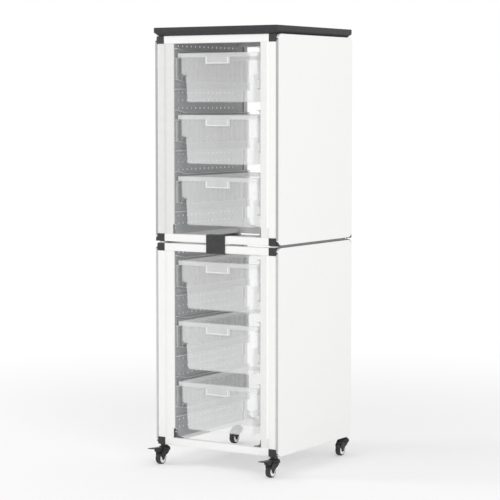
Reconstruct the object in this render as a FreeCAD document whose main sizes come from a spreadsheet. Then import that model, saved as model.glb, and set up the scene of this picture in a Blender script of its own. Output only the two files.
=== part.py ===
import FreeCAD, Part
import os
import re
import Sketcher

# A tall bin storage cabinet on casters: two open-fronted modules stacked under one top, each with
# three clear trays that slide in moulded runners. Millimetres, +Z up, front towards -Y, +X to the
# viewer's right. The origin is on the floor, in the middle of the footprint with the brake pedals.

doc = FreeCAD.newDocument("BinCabinet")
sheet = doc.addObject("Spreadsheet::Sheet", "sizes")
aliases = []
nodes = []


def size(alias, value, note):
    """Writes one driving dimension to the sheet: its name, its value and what it is."""
    row = len(aliases) + 1
    sheet.set(f"A{row}", alias)
    sheet.set(f"B{row}", str(value))
    sheet.setAlias(f"B{row}", alias)
    sheet.set(f"C{row}", note)
    aliases.append(alias)


# Frame of each module
size("width", 470, "over the side panels")
size("depth", 470, "side panels, front edge to back edge")
size("module_height", 665, "one module, over its rails")
size("module_gap", 6, "between the stacked modules")
size("panel_thick", 10, "side panel")
size("panel_corner", 20, "corner radius of a side panel")
size("tube_side", 25, "square tube of posts and rails")
size("tube_wall", 1.5, "wall of the square tube")
size("tube_round", 2, "flat on the outer corners of the square tube")

# Top
size("top_inset", 0.75, "top inside the faces of the side panels")
size("top_overhang", 9.5, "top ahead of the side panels")
size("top_setback", 2.5, "top behind the back edge of the side panels")
size("top_thick", 27, "top")
size("top_bevel", 11.5, "slanted underside of the top's edge")
size("top_corner", 14, "corner radius of the top")

# Corner connectors
size("joint_proud", 1, "connector face ahead of the tubes")
size("spigot_clear", 0.2, "plug inside a tube, each side")
size("spigot_reach", 30, "length of a plug")
size("ear_reach", 9.5, "ear beside the connector, ahead of the panel's corner")
size("ear_start", 0.35, "near edge of the ear, share of the panel's corner radius")
size("ear_end", 0.65, "far edge of the ear, share of the panel's corner radius")
size("ear_depth", 0.06, "ear behind the panel's edge, share of the panel's corner radius")
size("gusset_length", 63, "triangular web along the bottom rail")
size("gusset_height", 44, "triangular web up the post")
size("gusset_set", 12, "web behind the front face of the rail")
size("gusset_thick", 3, "triangular web")
size("gusset_hole", 2.2, "radius of the hole in the web")
size("gusset_hole_in", 23, "hole from the post")
size("gusset_hole_up", 12, "hole above the rail")
size("stem_radius", 5, "caster stem")
size("stud_side", 9, "square stud between the modules")
size("stud_depth", 16, "stud in its socket")
size("socket_spare", 1, "socket deeper than its stud")
size("collar_side", 18, "square collar of a stud")
size("stem_clear", 0.03, "stem in its bore, radial")
size("stem_head", 3, "head of the stem: height, and how far it stands out")

# Inner walls
size("opening_width", 328, "between the inner walls")
size("sheet_thick", 1.5, "folded sheet")
size("strip_recess", 4, "front strip behind the face of the post")
size("fold_ease", 0.1, "round of the fold less than the sheet")
size("notch_share", 0.7, "notch for the web, share of the web's height")
size("notch_past", 1, "notch past the inside of the strip")
size("front_return", 17, "where the perforated wall starts")
size("rear_setback", 45, "where the perforated wall ends, ahead of the panel's back edge")
size("rear_recess", 20, "back face of the rear strip, ahead of the panel's back edge")
size("hole_pitch", 26, "perforation, both ways")
size("hole_radius", 3.3, "perforation")
size("hole_first", 31, "first column behind the panel edge")
size("hole_step", 4, "every which column of the perforation is cut")
size("hole_columns", 4, "columns cut")

# Runners
size("runner_front", 5, "front end behind the panel edge")
size("runner_length", 440, "moulded runner")
size("runner_reach", 12, "runner from the wall")
size("runner_back", 4, "back web of the runner")
size("ledge_thick", 4, "ledge under the rim")
size("lip_height", 5, "underside of the lip above the rim top")
size("lip_thick", 3, "lip")
size("flare_rise", 9, "lead-in of the lip at the front")
size("flare_length", 50, "lead-in of the lip")
size("half_pitch", 99.3, "from one channel to the next")
size("rib_width", 3, "upright rib of the runner")
size("rib_inset", 2, "rib behind the edge of the lips")
size("rib_pitch", 170, "upright ribs")
size("rib_count", 3, "upright ribs")

# Trays
size("rim_gap", 8, "rim from the perforated wall, each side")
size("rim_length", 427, "tray over its rim, front to back")
size("rim_height", 14, "skirt of the rim")
size("rim_round", 11, "corner radius of the rim")
size("rim_front", 7, "rim behind the panel edge")
size("tray_above", 29, "lowest tray above the bottom rails")
size("tray_height", 158, "tray")
size("tray_wall", 2.5, "tray wall")
size("tray_inset", 8, "tray body inside the rim")
size("tray_round", 10, "corner radius of the tray body")
size("tray_slope", 5, "how far the front and back walls lean in")
size("draft_side", 1, "how far the upper part leans in, sides")
size("draft_end", 2, "how far the upper part leans in, ends")
size("shoulder_drop", 72, "shoulder below the rim top")
size("shoulder_step", 16.4, "tray in from its upper part under the shoulder, each side")
size("bottom_step", 21, "bottom in from the upper part, each side")
size("pull_width", 86, "finger pull under the front rim")
size("pull_height", 21, "finger pull")
size("slide_clear", 0.3, "rim above the ledge")

# Clips between the modules
size("clip_width", 72, "clip, across")
size("clip_thick", 2.5, "clip")
size("clip_hook", 6, "turned end of the clip")

# Casters
size("caster_trail", 20, "axle behind the swivel axis")
size("wheel_radius", 20, "tyre")
size("wheel_width", 18, "tyre")
size("tyre_ease_across", 3, "slanted shoulder of the tyre, across")
size("tyre_ease_up", 2.5, "slanted shoulder of the tyre, radial")
size("hub_inset", 0.2, "wheel centre inside the faces of the tyre")
size("hub_dish", 3, "dish of the wheel centre")
size("rim_radius", 15.5, "wheel centre")
size("axle_radius", 3, "axle")
size("neck_side", 4.2, "square neck of the axle in the fork")
size("run_clear", 0.05, "running fit, radial")
size("arm_gap", 0.3, "fork arm beside the wheel")
size("arm_thick", 2.5, "fork arm")
size("boss_radius", 6.5, "fork arm at the axle")
size("cap_thick", 1.2, "cap of the axle")
size("housing_radius", 22, "swivel housing")
size("housing_height", 13, "swivel housing")
size("housing_ease", 5, "slanted upper edge of the swivel housing")
size("housing_skirt", 2.5, "skirt of the swivel housing")
size("arm_head_front", 16, "fork arm under the housing, ahead of the swivel axis")
size("arm_head_rear", 13, "fork arm under the housing, behind the swivel axis")
size("arm_head_drop", 4, "fork arm under the top of the housing")
size("arm_heel_rear", 11, "rear edge of the fork arm, behind the swivel axis")
size("arm_heel_up", 22, "rear edge of the fork arm, above the axle")
size("arm_waist_front", 8, "narrow part of the fork arm, ahead of the swivel axis")
size("arm_waist_up", 8, "narrow part of the fork arm, above the axle")
size("arm_swell", 13, "fork arm ahead of the axle")
size("arm_swell_low", 9, "start of the swell above the axle")
size("arm_swell_high", 17, "end of the swell above the axle")
size("wheel_gap", 4, "tyre under the swivel housing")
size("plate_thick", 7, "top of the swivel housing")
size("nut_height", 6.7, "nut under the cabinet")
size("nut_radius", 9, "nut under the cabinet")
size("pedal_reach", 70, "pedal tip ahead of the side panels")
size("pedal_pivot_out", 17.5, "pedal pivot ahead of the swivel axis")
size("pedal_above", 7, "pedal pivot above the tyre")
size("pedal_barrel", 4.5, "round end of the pedal")
size("pedal_thick", 2.5, "pedal plate")
size("pedal_rise", 13.5, "pedal tip above its pivot")
size("pedal_brow", 8, "start of the slope ahead of the pivot")
size("pedal_brow_drop", 4, "start of the slope below the tip")
size("pedal_neck", 34, "start of the thin plate ahead of the pivot")
size("pedal_neck_drop", 3, "underside there below that of the tip")
size("pedal_heel", 20, "foot of the wedge ahead of the pivot")
size("pedal_heel_drop", 2, "foot of the wedge below the pivot")
size("pedal_cam", 11, "cam over the tyre ahead of the pivot")
size("pedal_cam_drop", 4, "cam over the tyre below the pivot")
size("pedal_side_gap", 0.5, "pedal beside the fork arms, each side")
size("lug_side", 4, "lug round the stub, ahead of and below it")
size("lug_rear", 10, "rear edge of the lug ahead of the swivel axis")
size("lug_slope", 1, "top of the lug ahead of the stub")
size("trunnion_radius", 2, "stub that the pedal turns on")
size("trunnion_length", 3, "stub that the pedal turns on")
doc.recompute()

# Formulas used in more than one place
HALF_X = "width / 2 - panel_thick"
REAR_REACH = "(housing_radius - tube_side / 2)"
MIDDLE_Y = f"(pedal_reach - {REAR_REACH}) / 2"
FRONT = f"({MIDDLE_Y} - depth / 2)"
TUBE_X = "(width / 2 - panel_thick - tube_side / 2)"
TUBE_Y = "(depth / 2 - tube_side / 2)"
TUBE_Z = "(module_height / 2 - tube_side / 2)"
WALL_X = "opening_width / 2"
WALL_LOW = "(tube_side - module_height / 2)"
RIM_HALF = "(opening_width / 2 - rim_gap)"
RIM_LOW = "(tube_side + tray_above + tray_height)"
HOUSING_TOP = "(2 * wheel_radius + wheel_gap + housing_height)"
CASTER_TOP = f"({HOUSING_TOP} + slide_clear + nut_height)"
PEDAL_UP = "(2 * wheel_radius + pedal_above)"
MODULE_LOW = {"lower": CASTER_TOP, "upper": f"({CASTER_TOP} + module_height + module_gap)"}
SIDES = {"left": "-1", "right": "1"}
ENDS = {"front": "-1", "rear": "1"}
STEM_SIDES = 12
CUT_PAST = "2"
# Outline of a corner web from the post along the rail and up the post, as shares of its sizes
GUSSET_OUTLINE = [("0", "0"), ("1", "0"), ("0.72", "0.24"), ("0.44", "0.67"), ("0", "1")]
# Outline of the fork arm round the axle, as shares of the boss radius
BOSS_OUTLINE = [("0.6", "-0.8"), ("-0.2", "-1"), ("-0.85", "-0.5")]


def formula(text):
    """Turns plain names into references to the sheet."""
    return re.sub(r"[a-z_]{3,}", lambda word: "sizes." + word.group() if word.group() in aliases
                  else word.group(), str(text))


def value(text):
    """The number that a formula stands for."""
    return float(sheet.evalExpression(re.sub("sizes[.]", "", formula(text))))


def bind(item, **settings):
    """Binds properties to formulas: Base_x stands for Placement.Base.x."""
    for name, text in settings.items():
        path = "Placement." + name.replace("_", ".") if name.startswith("Base_") else name
        item.setExpression(path, formula(text))


def place(item, across="0", along="0", up="0"):
    bind(item, Base_x=across, Base_y=along, Base_z=up)
    return item


def node(item, label):
    """Names a finished sub-part, which is written to its own file."""
    item.Label = label
    nodes.append(item)
    return item


def box(name, across, along, up):
    """A block from pairs of low and high coordinates."""
    block = doc.addObject("Part::Box", name)
    bind(block, Length=f"({across[1]}) - ({across[0]})", Width=f"({along[1]}) - ({along[0]})",
         Height=f"({up[1]}) - ({up[0]})")
    return place(block, across[0], along[0], up[0])


def prism(name, sides, radius, length, across="0", along="0", up="0", turn=None):
    """A bar with flats, such as a nut or a stem."""
    bar = doc.addObject("Part::Prism", name)
    bar.Polygon = sides
    if turn:
        bar.Placement = FreeCAD.Placement(FreeCAD.Vector(), turn)
    bind(bar, Circumradius=radius, Height=length)
    return place(bar, across, along, up)


def fuse(name, pieces):
    joined = doc.addObject("Part::MultiFuse", name)
    joined.Shapes = pieces
    return joined


def cut(name, base, tool):
    rest = doc.addObject("Part::Cut", name)
    rest.Base = base
    rest.Tool = tool
    return rest


def group(name, pieces):
    together = doc.addObject("Part::Compound", name)
    together.Links = pieces
    return together


def span(sign, low, high):
    """Mirrors a pair of coordinates for the negative side."""
    if sign == "1":
        return (low, high)
    return (f"-({high})", f"-({low})")


def new_sketch(body, name, role, offset="0"):
    sketch = body.newObject("Sketcher::SketchObject", name)
    plane = next(item for item in body.Origin.OriginFeatures if item.Role == role)
    sketch.AttachmentSupport = [(plane, "")]
    sketch.MapMode = "FlatFace"
    sketch.setExpression("AttachmentOffset.Base.z", formula(offset))
    return sketch


def fix_point(sketch, line, end, across, along):
    """Holds one end of a line at a pair of formulas."""
    for kind, text in (("DistanceX", across), ("DistanceY", along)):
        number = sketch.addConstraint(Sketcher.Constraint(kind, -1, 1, line, end, value(text)))
        label = f"{kind}_{line}_{end}"
        sketch.renameConstraint(number, label)
        sketch.setExpression("Constraints." + label, formula(text))


def polygon(sketch, corners):
    """A closed outline through corners, each a pair of formulas."""
    points = [FreeCAD.Vector(value(across), value(along), 0) for across, along in corners]
    first = sketch.GeometryCount
    for start, end in zip(points, points[1:] + points[:1]):
        sketch.addGeometry(Part.LineSegment(start, end))
    for step, corner in enumerate(corners):
        line = first + step
        sketch.addConstraint(Sketcher.Constraint("Coincident", line, 1, first + (step - 1) % len(corners), 2))
        fix_point(sketch, line, 1, *corner)


def rounded(sketch, low_x, high_x, low_y, high_y, radius):
    """A rectangle with rounded corners."""
    corners = ((high_x, low_y, "-", "+", -90), (high_x, high_y, "-", "-", 0),
               (low_x, high_y, "+", "-", 90), (low_x, low_y, "+", "+", 180))
    first = sketch.GeometryCount
    turn = value(radius)
    for across, along, side_x, side_y, begin in corners:
        middle = FreeCAD.Vector(value(f"({across}) {side_x} ({radius})"),
                                value(f"({along}) {side_y} ({radius})"), 0)
        circle = Part.Circle(middle, FreeCAD.Vector(0, 0, 1), turn)
        start = begin * FreeCAD.Units.Quantity("1 deg").getValueAs("rad").Value
        quarter = FreeCAD.Units.Quantity("90 deg").getValueAs("rad").Value
        sketch.addGeometry(Part.ArcOfCircle(circle, start, start + quarter))
    for step in range(4):
        here = first + step
        after = first + (step + 1) % 4
        line = sketch.addGeometry(Part.LineSegment(sketch.Geometry[here].EndPoint,
                                                   sketch.Geometry[after].StartPoint))
        sketch.addConstraint(Sketcher.Constraint("Tangent", here, 2, line, 1))
        sketch.addConstraint(Sketcher.Constraint("Tangent", line, 2, after, 1))
        across, along, side_x, side_y, begin = corners[step]
        fix_point(sketch, here, 3, f"({across}) {side_x} ({radius})", f"({along}) {side_y} ({radius})")
    number = sketch.addConstraint(Sketcher.Constraint("Radius", first, turn))
    label = f"Radius_{first}"
    sketch.renameConstraint(number, label)
    sketch.setExpression("Constraints." + label, formula(radius))


def flat_corners(sketch, low_x, high_x, low_y, high_y, size_off):
    """A rectangle with its corners cut at 45 degrees."""
    polygon(sketch, [(f"{low_x} + {size_off}", low_y), (f"{high_x} - {size_off}", low_y),
                     (high_x, f"{low_y} + {size_off}"), (high_x, f"{high_y} - {size_off}"),
                     (f"{high_x} - {size_off}", high_y), (f"{low_x} + {size_off}", high_y),
                     (low_x, f"{high_y} - {size_off}"), (low_x, f"{low_y} + {size_off}")])


def soft_corners(sketch, low_x, high_x, low_y, high_y, radius):
    """A rectangle whose round corners are each drawn with two flats."""
    near = f"{1 - 0.5 ** 0.5:.4f} * {radius}"
    polygon(sketch, [(f"{low_x} + {radius}", low_y), (f"{high_x} - {radius}", low_y),
                     (f"{high_x} - {near}", f"{low_y} + {near}"), (high_x, f"{low_y} + {radius}"),
                     (high_x, f"{high_y} - {radius}"), (f"{high_x} - {near}", f"{high_y} - {near}"),
                     (f"{high_x} - {radius}", high_y), (f"{low_x} + {radius}", high_y),
                     (f"{low_x} + {near}", f"{high_y} - {near}"), (low_x, f"{high_y} - {radius}"),
                     (low_x, f"{low_y} + {radius}"), (f"{low_x} + {near}", f"{low_y} + {near}")])


def six_sides(sketch, across, along, radius):
    """A small round hole drawn with six sides."""
    high = f"{0.75 ** 0.5:.4f} * {radius}"
    polygon(sketch, [(f"{across} + {radius}", along), (f"{across} + {radius} / 2", f"{along} + {high}"),
                     (f"{across} - {radius} / 2", f"{along} + {high}"), (f"{across} - {radius}", along),
                     (f"{across} - {radius} / 2", f"{along} - {high}"),
                     (f"{across} + {radius} / 2", f"{along} - {high}")])


def circle(sketch, across, along, radius):
    middle = FreeCAD.Vector(value(across), value(along), 0)
    line = sketch.addGeometry(Part.Circle(middle, FreeCAD.Vector(0, 0, 1), value(radius)))
    fix_point(sketch, line, 3, across, along)
    number = sketch.addConstraint(Sketcher.Constraint("Radius", line, value(radius)))
    sketch.renameConstraint(number, f"Radius_{line}")
    sketch.setExpression(f"Constraints.Radius_{line}", formula(radius))


def extrude(kind, body, name, sketch, length, back=False):
    """A Pad or a Pocket of a sketch."""
    feature = body.newObject("PartDesign::" + kind, name)
    feature.Profile = sketch
    bind(feature, Length=length)
    feature.Reversed = back
    return feature


def loft(kind, body, name, lower, upper):
    feature = body.newObject(f"PartDesign::{kind}Loft", name)
    feature.Profile = lower
    feature.Sections = [upper]
    feature.Ruled = True
    return feature


def revolve(body, name, sketch, axis):
    feature = body.newObject("PartDesign::Revolution", name)
    feature.Profile = sketch
    feature.ReferenceAxis = (sketch, [axis])
    feature.Angle = 360
    return feature


def new_body(name):
    return doc.addObject("PartDesign::Body", name)


def top():
    """Dark top: straight edge, slanted underside, rounded corners."""
    body = new_body("tabletop_body")
    outline = new_sketch(body, "top_outline", "XY_Plane")
    soft_corners(outline, "(top_inset - width / 2)", "(width / 2 - top_inset)", "(-depth / 2 - top_overhang)",
                 "(depth / 2 - top_setback)", "top_corner")
    extrude("Pad", body, "top_slab", outline, "top_thick")
    doc.recompute()
    slab = body.Tip
    low_edges = [f"Edge{number}" for number, edge in enumerate(slab.Shape.Edges, 1)
                 if edge.BoundBox.ZMax < 0.001]
    bevel = body.newObject("PartDesign::Chamfer", "top_bevel")
    bevel.Base = (slab, low_edges)
    bind(bevel, Size="top_bevel")
    place(body, "0", MIDDLE_Y, f"{MODULE_LOW['upper']} + module_height")
    return node(body, "tabletop")


def side_panel(level, side):
    """Flat white board with rounded corners, fastened to the outside of the posts."""
    body = new_body(f"side_panel_{level}_{side}_body")
    outline = new_sketch(body, f"panel_outline_{level}_{side}", "YZ_Plane")
    rounded(outline, "-depth / 2", "depth / 2", "0", "module_height", "panel_corner")
    extrude("Pad", body, f"panel_board_{level}_{side}", outline, "panel_thick")
    inner = HALF_X if side == "right" else "-width / 2"
    place(body, inner, MIDDLE_Y, MODULE_LOW[level])
    return node(body, f"side_panel_{level}_{side}")


def tube(name, length, axis, across, along, up):
    """Square steel tube with rounded edges, centred on its own middle."""
    body = new_body(name)
    outline = new_sketch(body, name + "_section", "XY_Plane", f"-({length}) / 2")
    flat_corners(outline, "-tube_side / 2", "tube_side / 2", "-tube_side / 2", "tube_side / 2", "tube_round")
    inner = "(tube_side / 2 - tube_wall)"
    polygon(outline, [(f"-{inner}", f"-{inner}"), (inner, f"-{inner}"), (inner, inner), (f"-{inner}", inner)])
    extrude("Pad", body, name + "_wall", outline, length)
    turn = {"x": FreeCAD.Rotation(FreeCAD.Vector(0, 1, 0), 90),
            "y": FreeCAD.Rotation(FreeCAD.Vector(1, 0, 0), 90), "z": FreeCAD.Rotation()}
    body.Placement = FreeCAD.Placement(FreeCAD.Vector(), turn[axis])
    return place(body, across, along, up)


def module_group(level, kind, pieces):
    """Gathers pieces drawn about the middle of a module and sets them in the cabinet."""
    together = group(f"{kind}_{level}_group", pieces)
    place(together, "0", MIDDLE_Y, f"{MODULE_LOW[level]} + module_height / 2")
    return node(together, f"{kind}_{level}")


def frame_tubes(level):
    """Four posts and eight rails of one module."""
    post_length = "module_height - 2 * tube_side"
    cross_length = "width - 2 * panel_thick - 2 * tube_side"
    side_length = "depth - 2 * tube_side"
    posts = [tube(f"post_{level}_{side}_{end}", post_length, "z", f"{sx} * {TUBE_X}", f"{sy} * {TUBE_Y}", "0")
             for side, sx in SIDES.items() for end, sy in ENDS.items()]
    module_group(level, "corner_posts", posts)
    for end, sy in ENDS.items():
        rails = [tube(f"rail_{level}_{end}_{tag}", cross_length, "x", "0", f"{sy} * {TUBE_Y}",
                      f"{sz} * {TUBE_Z}") for tag, sz in (("low", "-1"), ("high", "1"))]
        module_group(level, f"{end}_rails", rails)
    rails = [tube(f"rail_{level}_{side}_{tag}", side_length, "y", f"{sx} * {TUBE_X}", "0", f"{sz} * {TUBE_Z}")
             for side, sx in SIDES.items() for tag, sz in (("low", "-1"), ("high", "1"))]
    module_group(level, "side_rails", rails)


def gusset(level, side, end):
    """Triangular bracket between a post and the bottom rail, with one screw hole."""
    name = f"gusset_{level}_{side}_{end}"
    sign_x = SIDES[side]
    body = new_body(name)
    face = "(depth / 2 - gusset_set)"
    offset = face if end == "front" else f"gusset_thick - {face}"
    outline = new_sketch(body, name + "_outline", "XZ_Plane", offset)
    post = "(width / 2 - panel_thick - tube_side)"
    polygon(outline, [(f"{sign_x} * ({post} - {along} * gusset_length)", f"{WALL_LOW} + {up} * gusset_height")
                      for along, up in GUSSET_OUTLINE])
    six_sides(outline, f"{sign_x} * ({post} - gusset_hole_in)", f"{WALL_LOW} + gusset_hole_up", "gusset_hole")
    extrude("Pad", body, name + "_web", outline, "gusset_thick", back=True)
    bind(body, Base_z=f"{MODULE_LOW[level]} + module_height / 2")
    return body


def gussets():
    webs = [gusset(level, side, end) for level in MODULE_LOW for side in SIDES for end in ENDS]
    together = group("gusset_group", webs)
    place(together, "0", MIDDLE_Y, "0")
    return node(together, "corner_gussets")


def connector(level, side, end, tag):
    """Moulded corner: a block between three tubes, a plug in each, and an ear towards the panel."""
    name = f"connector_{level}_{side}_{end}_{tag}"
    sx = SIDES[side]
    sy = ENDS[end]
    sz = "-1" if tag == "bottom" else "1"
    inner_x = "(width / 2 - panel_thick - tube_side)"
    inner_y = "(depth / 2 - tube_side)"
    inner_z = "(module_height / 2 - tube_side)"
    block = box(name + "_block", span(sx, inner_x, HALF_X), span(sy, inner_y, "depth / 2 + joint_proud"),
                span(sz, inner_z, "module_height / 2"))
    plug_low = "(tube_wall + spigot_clear)"
    plug_high = "(tube_side - tube_wall - spigot_clear)"
    plug_x = span(sx, f"{inner_x} + {plug_low}", f"{inner_x} + {plug_high}")
    plug_y = span(sy, f"{inner_y} + {plug_low}", f"{inner_y} + {plug_high}")
    plug_z = span(sz, f"{inner_z} + {plug_low}", f"{inner_z} + {plug_high}")
    plug_up = box(name + "_plug_up", plug_x, plug_y, span(sz, f"{inner_z} - spigot_reach", inner_z))
    plug_across = box(name + "_plug_across", span(sx, f"{inner_x} - spigot_reach", inner_x), plug_y, plug_z)
    plug_along = box(name + "_plug_along", plug_x, span(sy, f"{inner_y} - spigot_reach", inner_y), plug_z)
    ear = box(name + "_ear", span(sx, HALF_X, f"{HALF_X} + ear_reach"),
              span(sy, "depth / 2 - ear_depth * panel_corner", "depth / 2 + joint_proud"),
              span(sz, "module_height / 2 - ear_end * panel_corner",
                   "module_height / 2 - ear_start * panel_corner"))
    pieces = [block, plug_up, plug_across, plug_along, ear]
    solid = fuse(name + "_solid", pieces)
    if (level, tag) == ("upper", "top"):
        return solid
    if (level, tag) == ("lower", "bottom"):
        bore = prism(name + "_bore", STEM_SIDES, "stem_radius + stem_clear", "tube_side", f"{sx} * {TUBE_X}",
                     f"{sy} * {TUBE_Y}", "-module_height / 2")
    else:
        half = "(stud_side / 2 + stem_clear)"
        bore = box(name + "_socket", (f"{sx} * {TUBE_X} - {half}", f"{sx} * {TUBE_X} + {half}"),
                   (f"{sy} * {TUBE_Y} - {half}", f"{sy} * {TUBE_Y} + {half}"),
                   span(sz, "module_height / 2 - stud_depth - socket_spare", "module_height / 2"))
    return cut(name, solid, bore)


def connectors(level, tag):
    corners = [connector(level, side, end, tag) for side in SIDES for end in ENDS]
    together = group(f"connectors_{level}_{tag}_group", corners)
    place(together, "0", MIDDLE_Y, f"{MODULE_LOW[level]} + module_height / 2")
    return node(together, f"connectors_{level}_{tag}")


def jamb(level, side, end):
    """Folded white sheet between the post and the perforated wall, with one rounded fold."""
    sign = SIDES[side]
    body = new_body(f"{end}_jamb_{level}_{side}_body")
    outline = new_sketch(body, f"{end}_jamb_section_{level}_{side}", "XY_Plane", WALL_LOW)
    post = "(width / 2 - panel_thick - tube_side)"
    front = end == "front"
    face = "strip_recess - depth / 2" if front else "depth / 2 - rear_recess"
    back = f"{face} + sheet_thick" if front else f"{face} - sheet_thick"
    meet = "front_return - depth / 2" if front else "depth / 2 - rear_setback"
    corners = [(f"{sign} * {post}", face), (f"{sign} * {WALL_X}", face), (f"{sign} * {WALL_X}", meet),
               (f"{sign} * ({WALL_X} + sheet_thick)", meet), (f"{sign} * ({WALL_X} + sheet_thick)", back),
               (f"{sign} * {post}", back)]
    polygon(outline, corners)
    sheet_up = extrude("Pad", body, f"{end}_jamb_sheet_{level}_{side}", outline,
                       "module_height - 2 * tube_side")
    doc.recompute()
    fold_x = value(f"{sign} * {WALL_X}")
    fold_y = value(face)
    fold = [f"Edge{number}" for number, edge in enumerate(sheet_up.Shape.Edges, 1)
            if abs(edge.CenterOfMass.x - fold_x) < 0.01 and abs(edge.CenterOfMass.y - fold_y) < 0.01]
    bend = body.newObject("PartDesign::Fillet", f"{end}_jamb_fold_{level}_{side}")
    bend.Base = (sheet_up, fold)
    bind(bend, Radius="sheet_thick - fold_ease")
    if front:
        notch = new_sketch(body, f"jamb_notch_outline_{level}_{side}", "XZ_Plane", "depth / 2 - front_return")
        near = f"{sign} * ({WALL_X} - notch_past)"
        far = f"{sign} * ({WALL_X} + sheet_thick + notch_past)"
        notch_top = f"{WALL_LOW} + notch_share * gusset_height"
        polygon(notch, [(near, WALL_LOW), (far, WALL_LOW), (far, notch_top), (near, notch_top)])
        extrude("Pocket", body, f"jamb_notch_{level}_{side}", notch, "front_return - gusset_set + notch_past",
                back=True)
    return body


def jambs(level):
    for side in SIDES:
        front = jamb(level, side, "front")
        place(front, "0", MIDDLE_Y, f"{MODULE_LOW[level]} + module_height / 2")
        node(front, f"front_jamb_{level}_{side}")
    module_group(level, "rear_jambs", [jamb(level, side, "rear") for side in SIDES])


def wall(level, side):
    """Perforated inner wall. Some columns of the hole grid are cut."""
    sign = SIDES[side]
    body = new_body(f"inner_wall_{level}_{side}_body")
    offset = WALL_X if side == "right" else f"-({WALL_X}) - sheet_thick"
    outline = new_sketch(body, f"wall_outline_{level}_{side}", "YZ_Plane", offset)
    low = WALL_LOW
    high = f"-{WALL_LOW}"
    start = "front_return - depth / 2"
    stop = "depth / 2 - rear_setback"
    polygon(outline, [(start, low), (stop, low), (stop, high), (start, high)])
    extrude("Pad", body, f"wall_sheet_{level}_{side}", outline, "sheet_thick")
    hole = new_sketch(body, f"wall_hole_{level}_{side}", "YZ_Plane", offset)
    six_sides(hole, "(hole_first - depth / 2)", f"({WALL_LOW} + hole_pitch)", "hole_radius")
    pocket = extrude("Pocket", body, f"wall_first_hole_{level}_{side}", hole, "sheet_thick", back=True)
    pattern = body.newObject("PartDesign::MultiTransform", f"wall_holes_{level}_{side}")
    pattern.Originals = [pocket]
    steps = []
    for axis, length, count in (("H_Axis", "hole_pitch * hole_step * (hole_columns - 1)", "hole_columns"),
                                ("V_Axis", "half_pitch * 2 * 2", "3")):
        step = body.newObject("PartDesign::LinearPattern", f"holes_{axis}_{level}_{side}")
        step.Direction = (hole, [axis])
        bind(step, Length=length, Occurrences=count)
        steps.append(step)
    pattern.Transformations = steps
    body.Tip = pattern
    place(body, "0", MIDDLE_Y, f"{MODULE_LOW[level]} + module_height / 2")
    return node(body, f"inner_wall_{level}_{side}")


def runner(name, side, rim_top):
    """Moulded double runner: two channels half a pitch apart, flared at the front, ribs between."""
    inward = side == "left"
    body = new_body(name)
    web = new_sketch(body, name + "_web_outline", "YZ_Plane")
    top_level = "lip_height + lip_thick"
    foot = "-rim_height - slide_clear - ledge_thick - half_pitch"
    polygon(web, [("0", foot), ("runner_length", foot), ("runner_length", top_level),
                  ("flare_length", top_level), ("0", f"{top_level} + flare_rise")])
    extrude("Pad", body, name + "_web", web, "runner_back", back=not inward)
    shelves = new_sketch(body, name + "_shelf_outline", "YZ_Plane")
    for drop in ("0", "half_pitch"):
        ledge = f"(-rim_height - slide_clear - {drop})"
        lip = f"(lip_height - {drop})"
        polygon(shelves, [("0", f"{ledge} - ledge_thick"), ("runner_length", f"{ledge} - ledge_thick"),
                          ("runner_length", ledge), ("0", ledge)])
        polygon(shelves, [("0", f"{lip} + flare_rise"), ("flare_length", lip), ("runner_length", lip),
                          ("runner_length", f"{lip} + lip_thick"), ("flare_length", f"{lip} + lip_thick"),
                          ("0", f"{lip} + lip_thick + flare_rise")])
    extrude("Pad", body, name + "_shelves", shelves, "runner_reach", back=not inward)
    rib = new_sketch(body, name + "_rib_outline", "YZ_Plane")
    rib_top = "-rim_height - slide_clear - ledge_thick / 2"
    rib_foot = "lip_height + lip_thick / 2 - half_pitch"
    rib_start = "(runner_length - rib_pitch * (rib_count - 1) - rib_width) / 2"
    polygon(rib, [(rib_start, rib_foot), (f"{rib_start} + rib_width", rib_foot),
                  (f"{rib_start} + rib_width", rib_top), (rib_start, rib_top)])
    first_rib = extrude("Pad", body, name + "_rib", rib, "runner_reach - rib_inset", back=not inward)
    ribs = body.newObject("PartDesign::LinearPattern", name + "_ribs")
    ribs.Originals = [first_rib]
    ribs.Direction = (rib, ["H_Axis"])
    bind(ribs, Length="rib_pitch * (rib_count - 1)", Occurrences="rib_count")
    body.Tip = ribs
    place(body, f"{SIDES[side]} * {WALL_X}", "runner_front - depth / 2", rim_top)
    return body


def runners(level, side):
    pieces = [runner(f"runner_{level}_{side}_{step}", side,
                     f"{RIM_LOW} - module_height / 2 + 2 * {step} * half_pitch") for step in range(3)]
    return module_group(level, f"runners_{side}", pieces)


def tray_outline(body, name, height, half, inset, radius):
    sketch = new_sketch(body, name, "XY_Plane", height)
    soft_corners(sketch, f"-({half})", f"({half})", f"({inset})", f"(rim_length - ({inset}))", radius)
    return sketch


def pull(body, name):
    """Finger pull: a plate under the front rim with a turned edge at each side."""
    outline = new_sketch(body, name + "_pull_outline", "XY_Plane", "-rim_height - pull_height")
    half = "(pull_width / 2)"
    reach = "tray_inset + tray_wall"
    polygon(outline, [(f"-{half}", "0"), (half, "0"), (half, reach), (f"{half} - tray_wall", reach),
                      (f"{half} - tray_wall", "tray_wall"), (f"tray_wall - {half}", "tray_wall"),
                      (f"tray_wall - {half}", reach), (f"-{half}", reach)])
    extrude("Pad", body, name + "_pull", outline, "pull_height + draft_side")


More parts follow.
